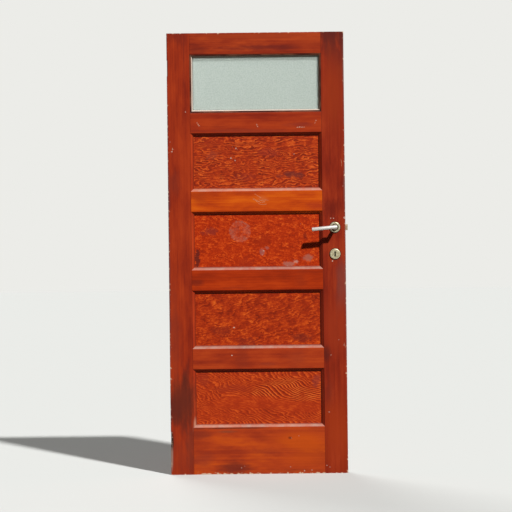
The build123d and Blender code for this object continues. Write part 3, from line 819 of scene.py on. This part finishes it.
# A metal with faint marks of its making; its gloss wanders a little from place to place
def workedMetal(name, look):
    material, tree = freshMaterial(name)
    spot = addNode(tree, "ShaderNodeTexCoord", out="Object")
    inputs = {"Vector": spot, "Scale": tuple(1 / size for size in look["marks"])}
    lines = addNode(tree, "ShaderNodeMapping", inputs)
    marks = addNode(tree, "ShaderNodeTexNoise", {"Vector": lines, "Scale": 1.0, "Detail": 3.0})
    tarnish = addNode(
        tree,
        "ShaderNodeTexNoise",
        {"Vector": spot, "Scale": 1 / look["tarnishSize"], "Detail": 4.0, "Roughness": 0.65},
    )
    stops = ((0.36, look["dull"]), (0.56, look["clean"]))
    tint = addNode(tree, "ShaderNodeValToRGB", (tarnish,), stops=stops)
    # dark rings round an axis: caked grime, with painted shade where a lever's neck shades its rose
    for axisPoint, radius, halfWidth, hexCode, strength in look.get("grimeAndShadeRings", []):
        reach = ovalReach(tree, spot, axisPoint.x, axisPoint.z, radius, radius)
        beside = addNode(tree, "ShaderNodeMath", (reach, 1.0), operation="SUBTRACT")
        beside = addNode(tree, "ShaderNodeMath", (beside,), operation="ABSOLUTE")
        rim = halfWidth / radius
        ringed = addNode(
            tree,
            "ShaderNodeMapRange",
            (beside, rim, 0.3 * rim, 0.0, strength),
            interpolation_type="SMOOTHSTEP",
        )
        tint = addNode(
            tree,
            "ShaderNodeMix",
            {"Factor": ringed, "A": tint, "B": hexCode},
            out="Result",
            data_type="RGBA",
        )
    finish = {"Base Color": tint, "Metallic": look["metallic"]}
    finish["Roughness"] = addNode(tree, "ShaderNodeMapRange", (marks, 0.3, 0.7, *look["gloss"]))
    finish["Normal"] = addNode(
        tree, "ShaderNodeBump", {"Height": marks, "Strength": 0.1, "Distance": 0.1 * mm}
    )
    surfaced(tree, finish)
    return material


metals = {
    # satin-anodised aluminium bar: the oxide scatters light, so it is soft and whitish
    "satin_aluminium": {
        "marks": (60 * mm, 0.8 * mm, 0.8 * mm), "tarnishSize": 14 * mm, "dull": "#D2CFC6",
        "clean": "#E6E3DC", "gloss": (0.32, 0.4), "metallic": 0.55,
    },
    # pressed aluminium rose, handled for years: warmer and blotched
    "handled_aluminium": {
        "marks": (2 * mm, 2 * mm, 2 * mm), "tarnishSize": 8 * mm, "dull": "#A09468",
        "clean": "#CFC6A4", "gloss": (0.32, 0.45), "metallic": 0.5,
    },
    # the same rose under a lever, with old polish and hand grease caked round the neck, and that
    # ring darkened further as painted shade of the lever's neck
    "handled_aluminium_with_caked_polish_and_painted_shade": {
        "marks": (2 * mm, 2 * mm, 2 * mm), "tarnishSize": 8 * mm, "dull": "#A09468",
        "clean": "#CFC8AE", "gloss": (0.32, 0.45), "metallic": 0.5,
        "grimeAndShadeRings": [(spindleAxis, 14 * mm, 4.5 * mm, "#2A2616", 0.85)],
    },
    # folded sheet steel of the lock, never polished
    "dull_steel": {
        "marks": (3 * mm, 3 * mm, 3 * mm), "tarnishSize": 12 * mm, "dull": "#4E4A44",
        "clean": "#77746E", "gloss": (0.45, 0.6), "metallic": 0.9,
    },
    # the lock's levers, black with old oil and darkened further as painted shade inside the keyhole
    "oiled_steel_with_painted_shade": {
        "marks": (3 * mm, 3 * mm, 3 * mm), "tarnishSize": 12 * mm, "dull": "#0E0C0A",
        "clean": "#1C1916", "gloss": (0.5, 0.7), "metallic": 0.2,
    },
    # nickelled steel forend with the plating rubbed thin
    "worn_nickelled_steel": {
        "marks": (1 * mm, 1 * mm, 50 * mm), "tarnishSize": 9 * mm, "dull": "#8C7A5C",
        "clean": "#BAB6AB", "gloss": (0.3, 0.5), "metallic": 0.9,
    },
    # cast brass bolts, dull where they slide
    "dull_brass": {
        "marks": (20 * mm, 1 * mm, 1 * mm), "tarnishSize": 8 * mm, "dull": "#8C7458",
        "clean": "#B49C80", "gloss": (0.35, 0.5), "metallic": 0.5,
    },
}
metalOf = {name: workedMetal(name, look) for name, look in metals.items()}
for name, material in (
    ("glass_pane", obscureGlass("figured_rolled_glass", obscure)),
    ("hinge_edge_wedges", woodOf["wedges"]),
    ("lock_edge_wedges", woodOf["wedges"]),
    ("lock_case", metalOf["dull_steel"]),
    ("lever_spindle", metalOf["dull_steel"]),
    ("lock_follower", metalOf["dull_steel"]),
):
    coat(name, material)
print("door: glass and metals finished")


# Gives a made piece its material and its body, and hides the nodes it stands for
def placePiece(piece, body, slotName, material, *nodes):
    piece.data.materials.clear()
    piece.data.materials.append(material)
    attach(piece, body)
    if nodes:
        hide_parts(*nodes)


def linked(name, mesh):
    piece = bpy.data.objects.new(name, mesh)
    bpy.context.scene.collection.objects.link(piece)
    return piece


def meshPiece(name, shape):
    mesh = bpy.data.meshes.new(name)
    shape.to_mesh(mesh)
    shape.free()
    return linked(name, mesh)


# A copy of a CAD solid with its sharp edges eased, as a file or sandpaper leaves them
def easedCopy(nodeName, look):
    shape = bmesh.new()
    shape.from_mesh(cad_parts[nodeName].data)
    bmesh.ops.remove_doubles(shape, verts=shape.verts, dist=0.005 * mm)
    bmesh.ops.dissolve_limit(
        shape, angle_limit=math.radians(0.5), verts=shape.verts, edges=shape.edges
    )
    sharp = []
    for edge in shape.edges:
        if len(edge.link_faces) != 2 or edge.calc_face_angle(0) < math.radians(look["fromAngle"]):
            continue
        onFaces = all(abs(abs(vert.co.y) - leaf["back"]) < 0.05 * mm for vert in edge.verts)
        if onFaces or not look["facesOnly"]:
            sharp.append(edge)
    bmesh.ops.bevel(
        shape,
        geom=sharp,
        offset=look["ease"],
        segments=look["segments"],
        profile=0.5,
        affect="EDGES",
        clamp_overlap=True,
    )
    for face in shape.faces:
        face.smooth = look["smooth"]
    piece = meshPiece(nodeName + "_eased", shape)
    if "custom_normal" in piece.data.attributes:
        piece.data.attributes.remove(piece.data.attributes["custom_normal"])
    if look["smooth"]:
        piece.data.set_sharp_from_angle(angle=math.radians(look["fromAngle"]))
    return piece


planed = {"ease": 0.8 * mm, "segments": 2, "fromAngle": 20, "facesOnly": True, "smooth": False}
moulded = {"ease": 0.5 * mm, "segments": 2, "fromAngle": 20, "facesOnly": False, "smooth": False}
turnedBar = {"ease": 0.9 * mm, "segments": 3, "fromAngle": 28, "facesOnly": False, "smooth": True}
filed = {"ease": 0.35 * mm, "segments": 2, "fromAngle": 25, "facesOnly": False, "smooth": True}
alloy, plated, brass = (
    metalOf[name] for name in ("satin_aluminium", "worn_nickelled_steel", "dull_brass")
)
for name, look, body, slotName, material in (
    *((name, planed, "door", "frame_wood", woodOf[name]) for name in members if name != "wedges"),
    ("top_bead", moulded, "door", "bead_wood", beadWood),
    ("bottom_bead", moulded, "door", "bead_wood", beadWood),
    ("hinge_side_bead", moulded, "door", "bead_wood", beadWood),
    ("lock_side_bead", moulded, "door", "bead_wood", beadWood),
    ("front_lever", turnedBar, "levers", "lever_alloy", alloy),
    ("back_lever", turnedBar, "levers", "lever_alloy", alloy),
    ("lock_forend", filed, "door", "forend_steel", plated),
    ("latch_bolt", filed, "latch", "bolt_brass", brass),
    ("dead_bolt", filed, "door", "bolt_brass", brass),
):
    placePiece(easedCopy(name, look), body, slotName, material, name)
print("door: arrises eased on frame, beads, levers and lock")

# Turned roses: (radius, height above the face) in mm from the bore's foot round to its top, and
# the keyhole in mm
roseTurning = {
    "facets": 96,
    "sharpFrom": 40,
    "lever": [
        (9.1, 0.0), (25.0, 0.0), (25.0, 2.0), (24.7, 3.1), (23.9, 4.2), (22.6, 5.0), (21.0, 5.4),
        (19.2, 5.3), (17.6, 4.8), (16.6, 4.1), (15.9, 4.0), (15.3, 4.6), (14.4, 6.6), (13.6, 8.6),
        (12.9, 9.6), (12.0, 9.95), (9.1, 9.95),
    ],
    "key": [
        (0.0, 0.0), (25.0, 0.0), (25.0, 1.7), (24.6, 2.8), (23.7, 3.8), (22.4, 4.5), (20.6, 4.9),
        (18.8, 4.85), (17.6, 4.5), (16.9, 4.5), (15.5, 4.8), (9.0, 4.9), (0.0, 4.9),
    ],
    "keyholeHead": 4.2,
    "keyholeWaist": 5.6,
    "keyholeFoot": 6.8,
    "keyholeDrop": 20.6,
    "keyholeRise": 8.5,
    "keyholeSteps": 24,
    "cutFrom": -2,
    "cutTo": 8,
}


# The neighbours in a closed row, taken in pairs: the last one goes with the first
def around(items):
    return list(zip(items, items[1:] + items[:1]))


def turnedRose(name, profile, axisPoint, outward):
    shape = bmesh.new()
    rings = []
    for step in range(roseTurning["facets"]):
        angle = 2 * math.pi * step / roseTurning["facets"]
        ring = []
        for radius, height in profile:
            x = axisPoint.x + radius * mm * math.cos(angle)
            z = axisPoint.z + radius * mm * math.sin(angle)
            ring.append(shape.verts.new((x, outward * (leaf["back"] + height * mm), z)))
        rings.append(ring)
    closed = profile[0][0] > 0
    for ring, following in around(rings):
        sides = list(zip(around(ring), around(following)))
        for (low, high), (nextLow, nextHigh) in sides if closed else sides[:-1]:
            shape.faces.new((low, high, nextHigh, nextLow))
    bmesh.ops.remove_doubles(shape, verts=shape.verts, dist=0.001 * mm)
    bmesh.ops.recalc_face_normals(shape, faces=shape.faces)
    for face in shape.faces:
        face.smooth = True
    return meshPiece(name, shape)


def keyholeCutter(axisPoint, outward):
    shape = bmesh.new()
    look = roseTurning
    headZ = axisPoint.z + look["keyholeRise"] * mm
    footZ = headZ - look["keyholeDrop"] * mm
    radius = look["keyholeHead"] * mm
    steps = look["keyholeSteps"]
    start = math.asin(look["keyholeWaist"] / 2 / look["keyholeHead"])
    outline = []
    for step in range(steps + 1):
        angle = -math.pi / 2 + start + (2 * math.pi - 2 * start) * step / steps
        outline.append((axisPoint.x + radius * math.cos(angle), headZ + radius * math.sin(angle)))
    outline.append((axisPoint.x - look["keyholeFoot"] / 2 * mm, footZ))
    outline.append((axisPoint.x + look["keyholeFoot"] / 2 * mm, footZ))
    ends = []
    for depth in (leaf["back"] + look["cutFrom"] * mm, leaf["back"] + look["cutTo"] * mm):
        ends.append([shape.verts.new((x, outward * depth, z)) for x, z in outline])
        shape.faces.new(ends[-1])
    for (low, nextLow), (high, nextHigh) in zip(around(ends[0]), around(ends[1])):
        shape.faces.new((low, nextLow, nextHigh, high))
    bmesh.ops.recalc_face_normals(shape, faces=shape.faces)
    return meshPiece("keyhole_cutter", shape)


# The finished mesh of an object with its modifiers worked in
def workedMesh(piece, name):
    worked = piece.evaluated_get(bpy.context.evaluated_depsgraph_get())
    finished = linked(name, bpy.data.meshes.new_from_object(worked))
    bpy.data.objects.remove(piece)
    return finished


for side, outward in (("front", -1), ("back", 1)):
    leverRose = turnedRose(side + "_lever_rose_turned", roseTurning["lever"], spindleAxis, outward)
    blank = turnedRose(side + "_key_rose_blank", roseTurning["key"], keyAxis, outward)
    cutter = keyholeCutter(keyAxis, outward)
    hole = blank.modifiers.new("keyhole", "BOOLEAN")
    hole.operation = "DIFFERENCE"
    hole.object = cutter
    hole.solver = "EXACT"
    keyRose = workedMesh(blank, side + "_key_rose_turned")
    bpy.data.objects.remove(cutter)
    for rose, finish, nodeName in (
        (leverRose, "handled_aluminium_with_caked_polish_and_painted_shade", side + "_lever_rose"),
        (keyRose, "handled_aluminium", side + "_key_rose"),
    ):
        rose.data.set_sharp_from_angle(angle=math.radians(roseTurning["sharpFrom"]))
        placePiece(rose, "door", "rose_alloy", metalOf[finish], nodeName)
print("door: roses turned, keyholes cut")


# A node group for one repeating piece, with an input for each of its named sizes
def repeatingTree(name, sizes):
    tree = bpy.data.node_groups.new(name, "GeometryNodeTree")
    tree.is_modifier = True
    tree.interface.new_socket("Geometry", in_out="OUTPUT", socket_type="NodeSocketGeometry")
    kinds = {int: "Int", float: "Float", tuple: "Vector"}
    sockets = {label: kinds[type(size)] for label, size in sizes.items()}
    for label, kind in {"Geometry": "Geometry", "Material": "Material", **sockets}.items():
        tree.interface.new_socket(label, in_out="INPUT", socket_type="NodeSocket" + kind)
    return tree, tree.nodes.new("NodeGroupInput").outputs


# Ends a tree: its instances made real, its material set
def handOut(tree, geometry, sized):
    whole = addNode(tree, "GeometryNodeRealizeInstances", {"Geometry": geometry})
    inputs = {"Geometry": whole, "Material": sized["Material"]}
    coated = addNode(tree, "GeometryNodeSetMaterial", inputs)
    addNode(tree, "NodeGroupOutput", {"Geometry": coated}, out=None)


# Runs a tree on a starting mesh with its inputs set, and places the plain mesh that it makes
def growPiece(name, start, tree, slotName, material, sizes):
    start.name = name + "_start"
    grow = start.modifiers.new("grow", "NODES")
    grow.node_group = tree
    given = {"Material": material, **sizes}
    for item in tree.interface.items_tree:
        if item.in_out == "INPUT" and item.name in given:
            grow[item.identifier] = given[item.name]
    placePiece(workedMesh(start, name), "door", slotName, material)


def startMesh(name, points, edges=()):
    mesh = bpy.data.meshes.new(name)
    mesh.from_pydata(points, list(edges), [])
    return linked(name, mesh)


# Old emulsion paint or bared wood: flat, chalky, thinner where the varnish shows through
chalky = {"patch": 4 * mm, "roughness": 0.8, "specular": 0.2}


def chalkyCoat(name, thin, thick):
    material, tree = freshMaterial(name)
    spot = addNode(tree, "ShaderNodeTexCoord", out="Object")
    cover = addNode(
        tree, "ShaderNodeTexNoise", {"Vector": spot, "Scale": 1 / chalky["patch"], "Detail": 3.0}
    )
    finish = {
        "Base Color": addNode(
            tree, "ShaderNodeValToRGB", (cover,), stops=((0.38, thin), (0.6, thick))
        ),
    }
    finish.update({"Roughness": chalky["roughness"], "Specular IOR Level": chalky["specular"]})
    surfaced(tree, finish)
    return material


# Paint specks: thin splashes thrown on the door when something beside it was painted
specks = {
    "sizes": {"Thickness": 0.25 * mm, "Ragged": 0.9, "Seed": 5},
    "narrowest": (0.5, 1.0, 0.5),
    "widest": (1.5, 1.0, 1.5),
    "rimSize": 2.2 * mm,
    "rimReach": (4.5 * mm, 0.0, 4.5 * mm),
    "thin": "#A86450",
    "thick": "#CDAE9E",
    # (x, z, radius in mm, on a panel or on the frame)
    "spots": [
        (0.144, 0.607, 3.4, "frame"), (0.151, 0.6, 1.8, "frame"), (0.139, 0.615, 1.4, "frame"),
        (0.419, 0.603, 2.6, "frame"), (0.424, 0.594, 1.6, "frame"), (0.693, 0.608, 2.4, "frame"),
        (0.697, 0.619, 1.6, "frame"), (0.61, 0.588, 2.0, "frame"), (0.62, 0.589, 2.6, "frame"),
        (0.632, 0.588, 2.2, "frame"), (0.642, 0.589, 1.6, "frame"), (0.0233, 0.491, 2.4, "frame"),
        (0.0194, 0.48, 3.0, "frame"), (0.012, 0.525, 1.4, "frame"), (0.086, 0.666, 2.0, "frame"),
        (0.32, 0.493, 3.6, "panel"), (0.326, 0.489, 2.0, "panel"), (0.304, 0.5, 1.5, "panel"),
        (0.297, 0.448, 3.0, "panel"), (0.316, 0.436, 2.4, "panel"), (0.593, 0.464, 2.4, "panel"),
        (0.291, -0.478, 2.4, "frame"), (0.302, -0.348, 3.2, "panel"), (0.775, 0.1605, 2.8, "frame"),
        (0.761, 0.16, 2.0, "frame"), (0.767, -0.041, 3.0, "frame"), (0.826, 0.162, 3.6, "frame"),
        (0.8275, 0.192, 2.2, "frame"), (0.756, -0.481, 2.2, "frame"), (0.817, -0.435, 2.4, "frame"),
        (0.793, -0.41, 1.8, "frame"), (0.743, -0.748, 2.8, "frame"), (0.6, -0.858, 1.6, "frame"),
        (0.565, -0.868, 1.6, "frame"), (0.33, -1.005, 2.0, "frame"), (0.345, -0.998, 1.5, "frame"),
        (0.56, -1.003, 2.0, "frame"), (0.73, -0.998, 2.4, "frame"), (0.744, -1.006, 2.0, "frame"),
        (0.625, -1.022, 2.6, "frame"), (0.66, -1.02, 2.0, "frame"), (0.0062, -0.859, 1.9, "frame"),
        (0.0064, -0.838, 1.9, "frame"), (0.0055, -0.88, 1.3, "frame"),
        (0.0058, -0.896, 1.7, "frame"), (0.445, 0.01, 3.0, "panel"), (0.438, -0.008, 2.4, "panel"),
        (0.556, -0.062, 3.0, "panel"), (0.62, 0.135, 1.6, "frame"), (0.82, 0.31, 1.4, "frame"),
    ],
}
speckTree, sized = repeatingTree("paint_specks", specks["sizes"])
splash = addNode(speckTree, "GeometryNodeMeshIcoSphere", {"Radius": 1.0, "Subdivisions": 3})
ownRadius = addNode(
    speckTree,
    "GeometryNodeInputNamedAttribute",
    {"Name": "radius"},
    out="Attribute",
    data_type="FLOAT",
)
limits = {"Min": specks["narrowest"], "Max": specks["widest"], "Seed": sized["Seed"]}
squeeze = addNode(
    speckTree, "FunctionNodeRandomValue", limits, out="Value", data_type="FLOAT_VECTOR"
)
inputs = {0: squeeze, "Scale": ownRadius}
spread = addNode(speckTree, "ShaderNodeVectorMath", inputs, operation="SCALE")
spreadParts = addNode(speckTree, "ShaderNodeSeparateXYZ", (spread,), out=None)
flat = addNode(
    speckTree,
    "ShaderNodeCombineXYZ",
    {"X": spreadParts["X"], "Y": sized["Thickness"], "Z": spreadParts["Z"]},
)
inputs = {"Points": sized["Geometry"], "Instance": splash, "Scale": flat}
thrown = addNode(speckTree, "GeometryNodeInstanceOnPoints", inputs)
landed = addNode(speckTree, "GeometryNodeRealizeInstances", {"Geometry": thrown})
rim = addNode(
    speckTree, "ShaderNodeTexNoise", {"Scale": 1 / specks["rimSize"], "Detail": 1.0}, out="Color"
)
swing = addNode(speckTree, "ShaderNodeVectorMath", (rim, (0.5, 0.5, 0.5)), operation="SUBTRACT")
reach = addNode(
    speckTree, "ShaderNodeVectorMath", (swing, specks["rimReach"]), operation="MULTIPLY"
)
inputs = {0: reach, "Scale": sized["Ragged"]}
reach = addNode(speckTree, "ShaderNodeVectorMath", inputs, operation="SCALE")
spilt = addNode(speckTree, "GeometryNodeSetPosition", {"Geometry": landed, "Offset": reach})
handOut(speckTree, spilt, sized)

faces = {"frame": leaf["front"], "panel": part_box("top_panel")[0].y}
speckPoints = startMesh("specks", [(x, faces[where], z) for x, z, size, where in specks["spots"]])
radius = speckPoints.data.attributes.new("radius", "FLOAT", "POINT")
radius.data.foreach_set("value", [size * mm for x, z, size, where in specks["spots"]])
growPiece(
    "paint_specks",
    speckPoints,
    speckTree,
    "frame_wood",
    chalkyCoat("old_emulsion_paint", specks["thin"], specks["thick"]),
    specks["sizes"],
)
print("door: paint specks thrown,", len(specks["spots"]))

# Scratches through the varnish into pale wood: thin curved lines, widest where the edge dug in
scratches = {
    "sizes": {"Width": 1.3 * mm, "Relief": 0.12, "Seed": 3},
    "steps": 14,
    "sides": 8,
    "thinnest": 0.35,
    "thin": "#B86A44",
    "thick": "#CF9A76",
    # (start, middle, end) as x and z on the frame's face
    "lines": [
        ((0.4044, 0.278), (0.4208, 0.2692), (0.4372, 0.2587)),
        ((0.3962, 0.2557), (0.412, 0.2458), (0.4296, 0.2423)),
        ((0.3991, 0.2587), (0.4091, 0.2516), (0.422, 0.2458)),
        ((0.4296, 0.247), (0.4472, 0.2493), (0.4706, 0.2475)),
        ((0.412, 0.244), (0.4296, 0.2387), (0.453, 0.2387)),
        ((0.422, 0.2329), (0.4384, 0.2282), (0.4618, 0.2294)),
        ((0.4267, 0.2516), (0.4384, 0.2458), (0.453, 0.2423)),
        ((0.14, 0.615), (0.143, 0.606), (0.148, 0.598)),
        ((0.146, 0.612), (0.1455, 0.605), (0.149, 0.6)),
        ((0.418, 0.608), (0.4185, 0.601), (0.4215, 0.593)),
        ((0.606, 0.5878), (0.624, 0.5892), (0.645, 0.5884)),
        ((0.691, 0.604), (0.693, 0.611), (0.697, 0.62)),
        ((0.022, 0.5), (0.023, 0.49), (0.0205, 0.478)),
        ((0.812, 0.435), (0.815, 0.42), (0.8145, 0.402)),
        ((0.818, -0.425), (0.8215, -0.437), (0.8225, -0.445)),
    ],
}
scratchTree, sized = repeatingTree("scratches", scratches["sizes"])
drawn = addNode(scratchTree, "GeometryNodeMeshToCurve", {"Mesh": sized["Geometry"]})
inputs = {"Curve": drawn}
curved = addNode(scratchTree, "GeometryNodeCurveSplineType", inputs, spline_type="CATMULL_ROM")
inputs = {"Curve": curved, "Count": scratches["steps"]}
stepped = addNode(scratchTree, "GeometryNodeResampleCurve", inputs)
along = addNode(scratchTree, "GeometryNodeSplineParameter", out="Factor")
taper = addNode(scratchTree, "ShaderNodeMath", (along, math.pi), operation="MULTIPLY")
taper = addNode(scratchTree, "ShaderNodeMath", (taper,), operation="SINE")
inputs = {2: scratches["thinnest"], 3: 1.0, "Seed": sized["Seed"]}
uneven = addNode(scratchTree, "FunctionNodeRandomValue", inputs, out=1, data_type="FLOAT")
inputs = {"Curve": stepped, "Radius": product(scratchTree, taper, uneven)}
thick = addNode(scratchTree, "GeometryNodeSetCurveRadius", inputs)
halfWidth = addNode(scratchTree, "ShaderNodeMath", (sized["Width"], 0.5), operation="MULTIPLY")
inputs = {"Resolution": scratches["sides"], "Radius": halfWidth}
outline = addNode(scratchTree, "GeometryNodeCurvePrimitiveCircle", inputs)
inputs = {"Curve": thick, "Profile Curve": outline, "Fill Caps": True}
swept = addNode(scratchTree, "GeometryNodeCurveToMesh", inputs)
inputs = {
    "Geometry": swept,
    "Translation": (0, leaf["front"], 0),
    "Scale": addNode(
        scratchTree, "ShaderNodeCombineXYZ", {"X": 1.0, "Y": sized["Relief"], "Z": 1.0}
    ),
}
handOut(scratchTree, addNode(scratchTree, "GeometryNodeTransform", inputs), sized)
scratchRun = startMesh(
    "scratch_run",
    [(x, 0, z) for line in scratches["lines"] for x, z in line],
    [(3 * i + j, 3 * i + j + 1) for i in range(len(scratches["lines"])) for j in (0, 1)],
)
growPiece(
    "scratches",
    scratchRun,
    scratchTree,
    "frame_wood",
    chalkyCoat("softwood_bared_by_scratches", scratches["thin"], scratches["thick"]),
    scratches["sizes"],
)
print("door: scratches drawn,", len(scratches["lines"]))

# Panel pins that hold the glazing beads, their heads punched in and darkened
beadPins = {
    "sizes": {"Spacing": 140 * mm, "Head radius": 1.0 * mm, "Head height": 0.3 * mm},
    "fromEdge": 3.0 * mm,
}
pinTree, sized = repeatingTree("bead_pins", beadPins["sizes"])
run = addNode(pinTree, "GeometryNodeMeshToCurve", {"Mesh": sized["Geometry"]})
inputs = {"Curve": run, "Length": sized["Spacing"]}
stepped = addNode(pinTree, "GeometryNodeResampleCurve", inputs, mode="LENGTH")
inputs = {
    "Points": stepped,
    "Instance": addNode(pinTree, "GeometryNodeMeshIcoSphere", {"Radius": 1.0, "Subdivisions": 2}),
    "Scale": addNode(
        pinTree,
        "ShaderNodeCombineXYZ",
        {"X": sized["Head radius"], "Y": sized["Head height"], "Z": sized["Head radius"]},
    ),
}
handOut(pinTree, addNode(pinTree, "GeometryNodeInstanceOnPoints", inputs), sized)

beadLow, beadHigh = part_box("bottom_bead")[0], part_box("top_bead")[1]
inset = beadPins["fromEdge"]
left, right = beadLow.x + inset, beadHigh.x - inset
low, high = beadLow.z + inset, beadHigh.z - inset
corners = [(x, beadLow.y, z) for x, z in ((left, low), (right, low), (right, high), (left, high))]
growPiece(
    "bead_pins",
    startMesh("pin_run", corners, around([0, 1, 2, 3])),
    pinTree,
    "lock_steel",
    metalOf["dull_steel"],
    beadPins["sizes"],
)

# Countersunk slotted screws of the forend, each left at its own turn
forendScrews = {
    "sizes": {
        "Head radius": 4.2 * mm, "Head depth": 1.4 * mm, "Slot width": 1.1 * mm, "Seed": 2,
    },
    "proud": 0.15 * mm,
    "fromEnd": 11 * mm,
    "facets": 40,
    "turnLimit": 3.1,
}
screwTree, sized = repeatingTree("slotted_screws", forendScrews["sizes"])
inputs = {"Vertices": forendScrews["facets"], "Radius": sized["Head radius"]}
inputs["Depth"] = sized["Head depth"]
screwHead = addNode(screwTree, "GeometryNodeMeshCylinder", inputs)
slotLength = addNode(screwTree, "ShaderNodeMath", (sized["Head radius"], 3.0), operation="MULTIPLY")
slotSize = addNode(
    screwTree,
    "ShaderNodeCombineXYZ",
    {"X": sized["Slot width"], "Y": slotLength, "Z": sized["Head depth"]},
)
slotBlock = addNode(screwTree, "GeometryNodeMeshCube", {"Size": slotSize})
halfDepth = addNode(screwTree, "ShaderNodeMath", (sized["Head depth"], 0.5), operation="MULTIPLY")
slotRise = addNode(screwTree, "ShaderNodeCombineXYZ", {"Z": halfDepth})
inputs = {"Geometry": slotBlock, "Translation": slotRise}
slot = addNode(screwTree, "GeometryNodeTransform", inputs)
inputs = {"Mesh 1": screwHead, "Mesh 2": slot}
slotted = addNode(screwTree, "GeometryNodeMeshBoolean", inputs, operation="DIFFERENCE")
inputs = {"Geometry": slotted, "Rotation": (0, math.pi / 2, 0)}
facingOut = addNode(screwTree, "GeometryNodeTransform", inputs)
inputs = {2: 0.0, 3: forendScrews["turnLimit"], "Seed": sized["Seed"]}
turn = addNode(screwTree, "FunctionNodeRandomValue", inputs, out=1, data_type="FLOAT")
ownTurn = addNode(screwTree, "ShaderNodeCombineXYZ", {"X": turn})
inputs = {"Points": sized["Geometry"], "Instance": facingOut, "Rotation": ownTurn}
handOut(screwTree, addNode(screwTree, "GeometryNodeInstanceOnPoints", inputs), sized)
forendLow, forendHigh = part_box("lock_forend")
screwX = forendHigh.x + forendScrews["proud"] - forendScrews["sizes"]["Head depth"] / 2
heights = (forendLow.z + forendScrews["fromEnd"], forendHigh.z - forendScrews["fromEnd"])
growPiece(
    "forend_screws",
    startMesh("screw_points", [(screwX, 0, z) for z in heights]),
    screwTree,
    "forend_steel",
    plated,
    forendScrews["sizes"],
)

# The lock's own levers: thin plates on edge behind the keyhole, which keep it dark; their
# near-black coat is painted shade
lockLevers = {
    "sizes": {"Count": 5, "Pitch": 2.3 * mm, "Plate": (30 * mm, 1.5 * mm, 40 * mm)},
    "rise": 6 * mm,
}
packTree, sized = repeatingTree("lock_levers", lockLevers["sizes"])
inputs = {
    "Count": sized["Count"],
    "Offset": addNode(packTree, "ShaderNodeCombineXYZ", {"Y": sized["Pitch"]}),
}
stack = addNode(packTree, "GeometryNodeMeshLine", inputs)
plate = addNode(packTree, "GeometryNodeMeshCube", {"Size": sized["Plate"]})
stacked = addNode(packTree, "GeometryNodeInstanceOnPoints", {"Points": stack, "Instance": plate})
firstPoint = addNode(packTree, "GeometryNodeInputPosition")
inputs = {"Geometry": sized["Geometry"], "Value": firstPoint}
startPlace = addNode(packTree, "GeometryNodeSampleIndex", inputs, data_type="FLOAT_VECTOR")
inputs = {"Geometry": stacked, "Translation": startPlace}
handOut(packTree, addNode(packTree, "GeometryNodeTransform", inputs), sized)
firstY = -(lockLevers["sizes"]["Count"] - 1) / 2 * lockLevers["sizes"]["Pitch"]
growPiece(
    "lock_levers",
    startMesh("pack_point", [(keyAxis.x, firstY, keyAxis.z + lockLevers["rise"])]),
    packTree,
    "lock_steel",
    metalOf["oiled_steel_with_painted_shade"],
    lockLevers["sizes"],
)
print("door: pins, screws and lock levers in place")

studio = {
    "floor": "#BFC0BD",  # lit by the lamps it comes out as pale as the world behind
    "floorBounce": "#3A3835",
    "floorHalfWidth": 40.0,
    # (name, strength, angle across, toward it)
    "lamps": [
        ("studio_key", 5.2, 3.0, (0.74, -1.0, 1.3)),
        ("studio_back", 2.0, 35.0, (-0.45, 1.0, 0.7)),
    ],
    "pale": "#ECECE8",
    "seenInGloss": 0.28,
    "fill": 0.06,
    "sensor": 36.0,
    "lens": 110.0,
    "cameraPlace": (0.409, -7.354, -0.013),
    "cameraRoll": 0.66,
}


def paleFloor():
    shape = bmesh.new()
    half = studio["floorHalfWidth"]
    corners = [(-half, -half), (half, -half), (half, half), (-half, half)]
    shape.faces.new([shape.verts.new((leafMiddle + x, y, leaf["foot"])) for x, y in corners])
    floor = meshPiece("pale_floor", shape)
    material, tree = freshMaterial("pale_paper")
    rays = addNode(tree, "ShaderNodeLightPath", out=None)
    seen = addNode(
        tree, "ShaderNodeMath", (rays["Is Camera Ray"], rays["Is Glossy Ray"]), operation="MAXIMUM"
    )
    seen = addNode(tree, "ShaderNodeMath", (seen, rays["Is Transmission Ray"]), operation="MAXIMUM")
    paper = addNode(
        tree,
        "ShaderNodeMix",
        {"Factor": seen, "A": studio["floorBounce"], "B": studio["floor"]},
        out="Result",
        data_type="RGBA",
    )
    surface = addNode(tree, "ShaderNodeBsdfDiffuse", {"Color": paper})
    addNode(tree, "ShaderNodeOutputMaterial", {"Surface": surface}, out=None)
    floor.data.materials.append(material)


paleFloor()

for lampName, strength, angle, toward in studio["lamps"]:
    lamp = linked(lampName, bpy.data.lights.new(lampName, "SUN"))
    lamp.data.energy = strength
    lamp.data.angle = math.radians(angle)
    lamp.rotation_mode = "QUATERNION"
    lamp.rotation_quaternion = Vector(toward).to_track_quat("Z", "Y")

world = bpy.data.worlds.new("studio_world")
bpy.context.scene.world = world
world.use_nodes = True
sky = world.node_tree
sky.nodes.clear()
rays = addNode(sky, "ShaderNodeLightPath", out=None)
gloss = addNode(
    sky,
    "ShaderNodeMapRange",
    (rays["Is Glossy Ray"], 0.0, 1.0, studio["fill"], studio["seenInGloss"]),
)
straight = addNode(
    sky, "ShaderNodeMath", (rays["Is Camera Ray"], rays["Is Transmission Ray"]), operation="MAXIMUM"
)
strength = addNode(sky, "ShaderNodeMath", (gloss, straight), operation="MAXIMUM")
inputs = {"Color": studio["pale"], "Strength": strength}
glow = addNode(sky, "ShaderNodeBackground", inputs)
addNode(sky, "ShaderNodeOutputWorld", {"Surface": glow}, out=None)

camera = linked("camera", bpy.data.cameras.new("camera"))
camera.data.sensor_width = studio["sensor"]
camera.data.lens = studio["lens"]
camera.location = studio["cameraPlace"]
camera.rotation_euler = (math.radians(90), math.radians(studio["cameraRoll"]), 0)
bpy.context.scene.camera = camera
bpy.context.scene.view_settings.view_transform = "Standard"
print("door: studio set")
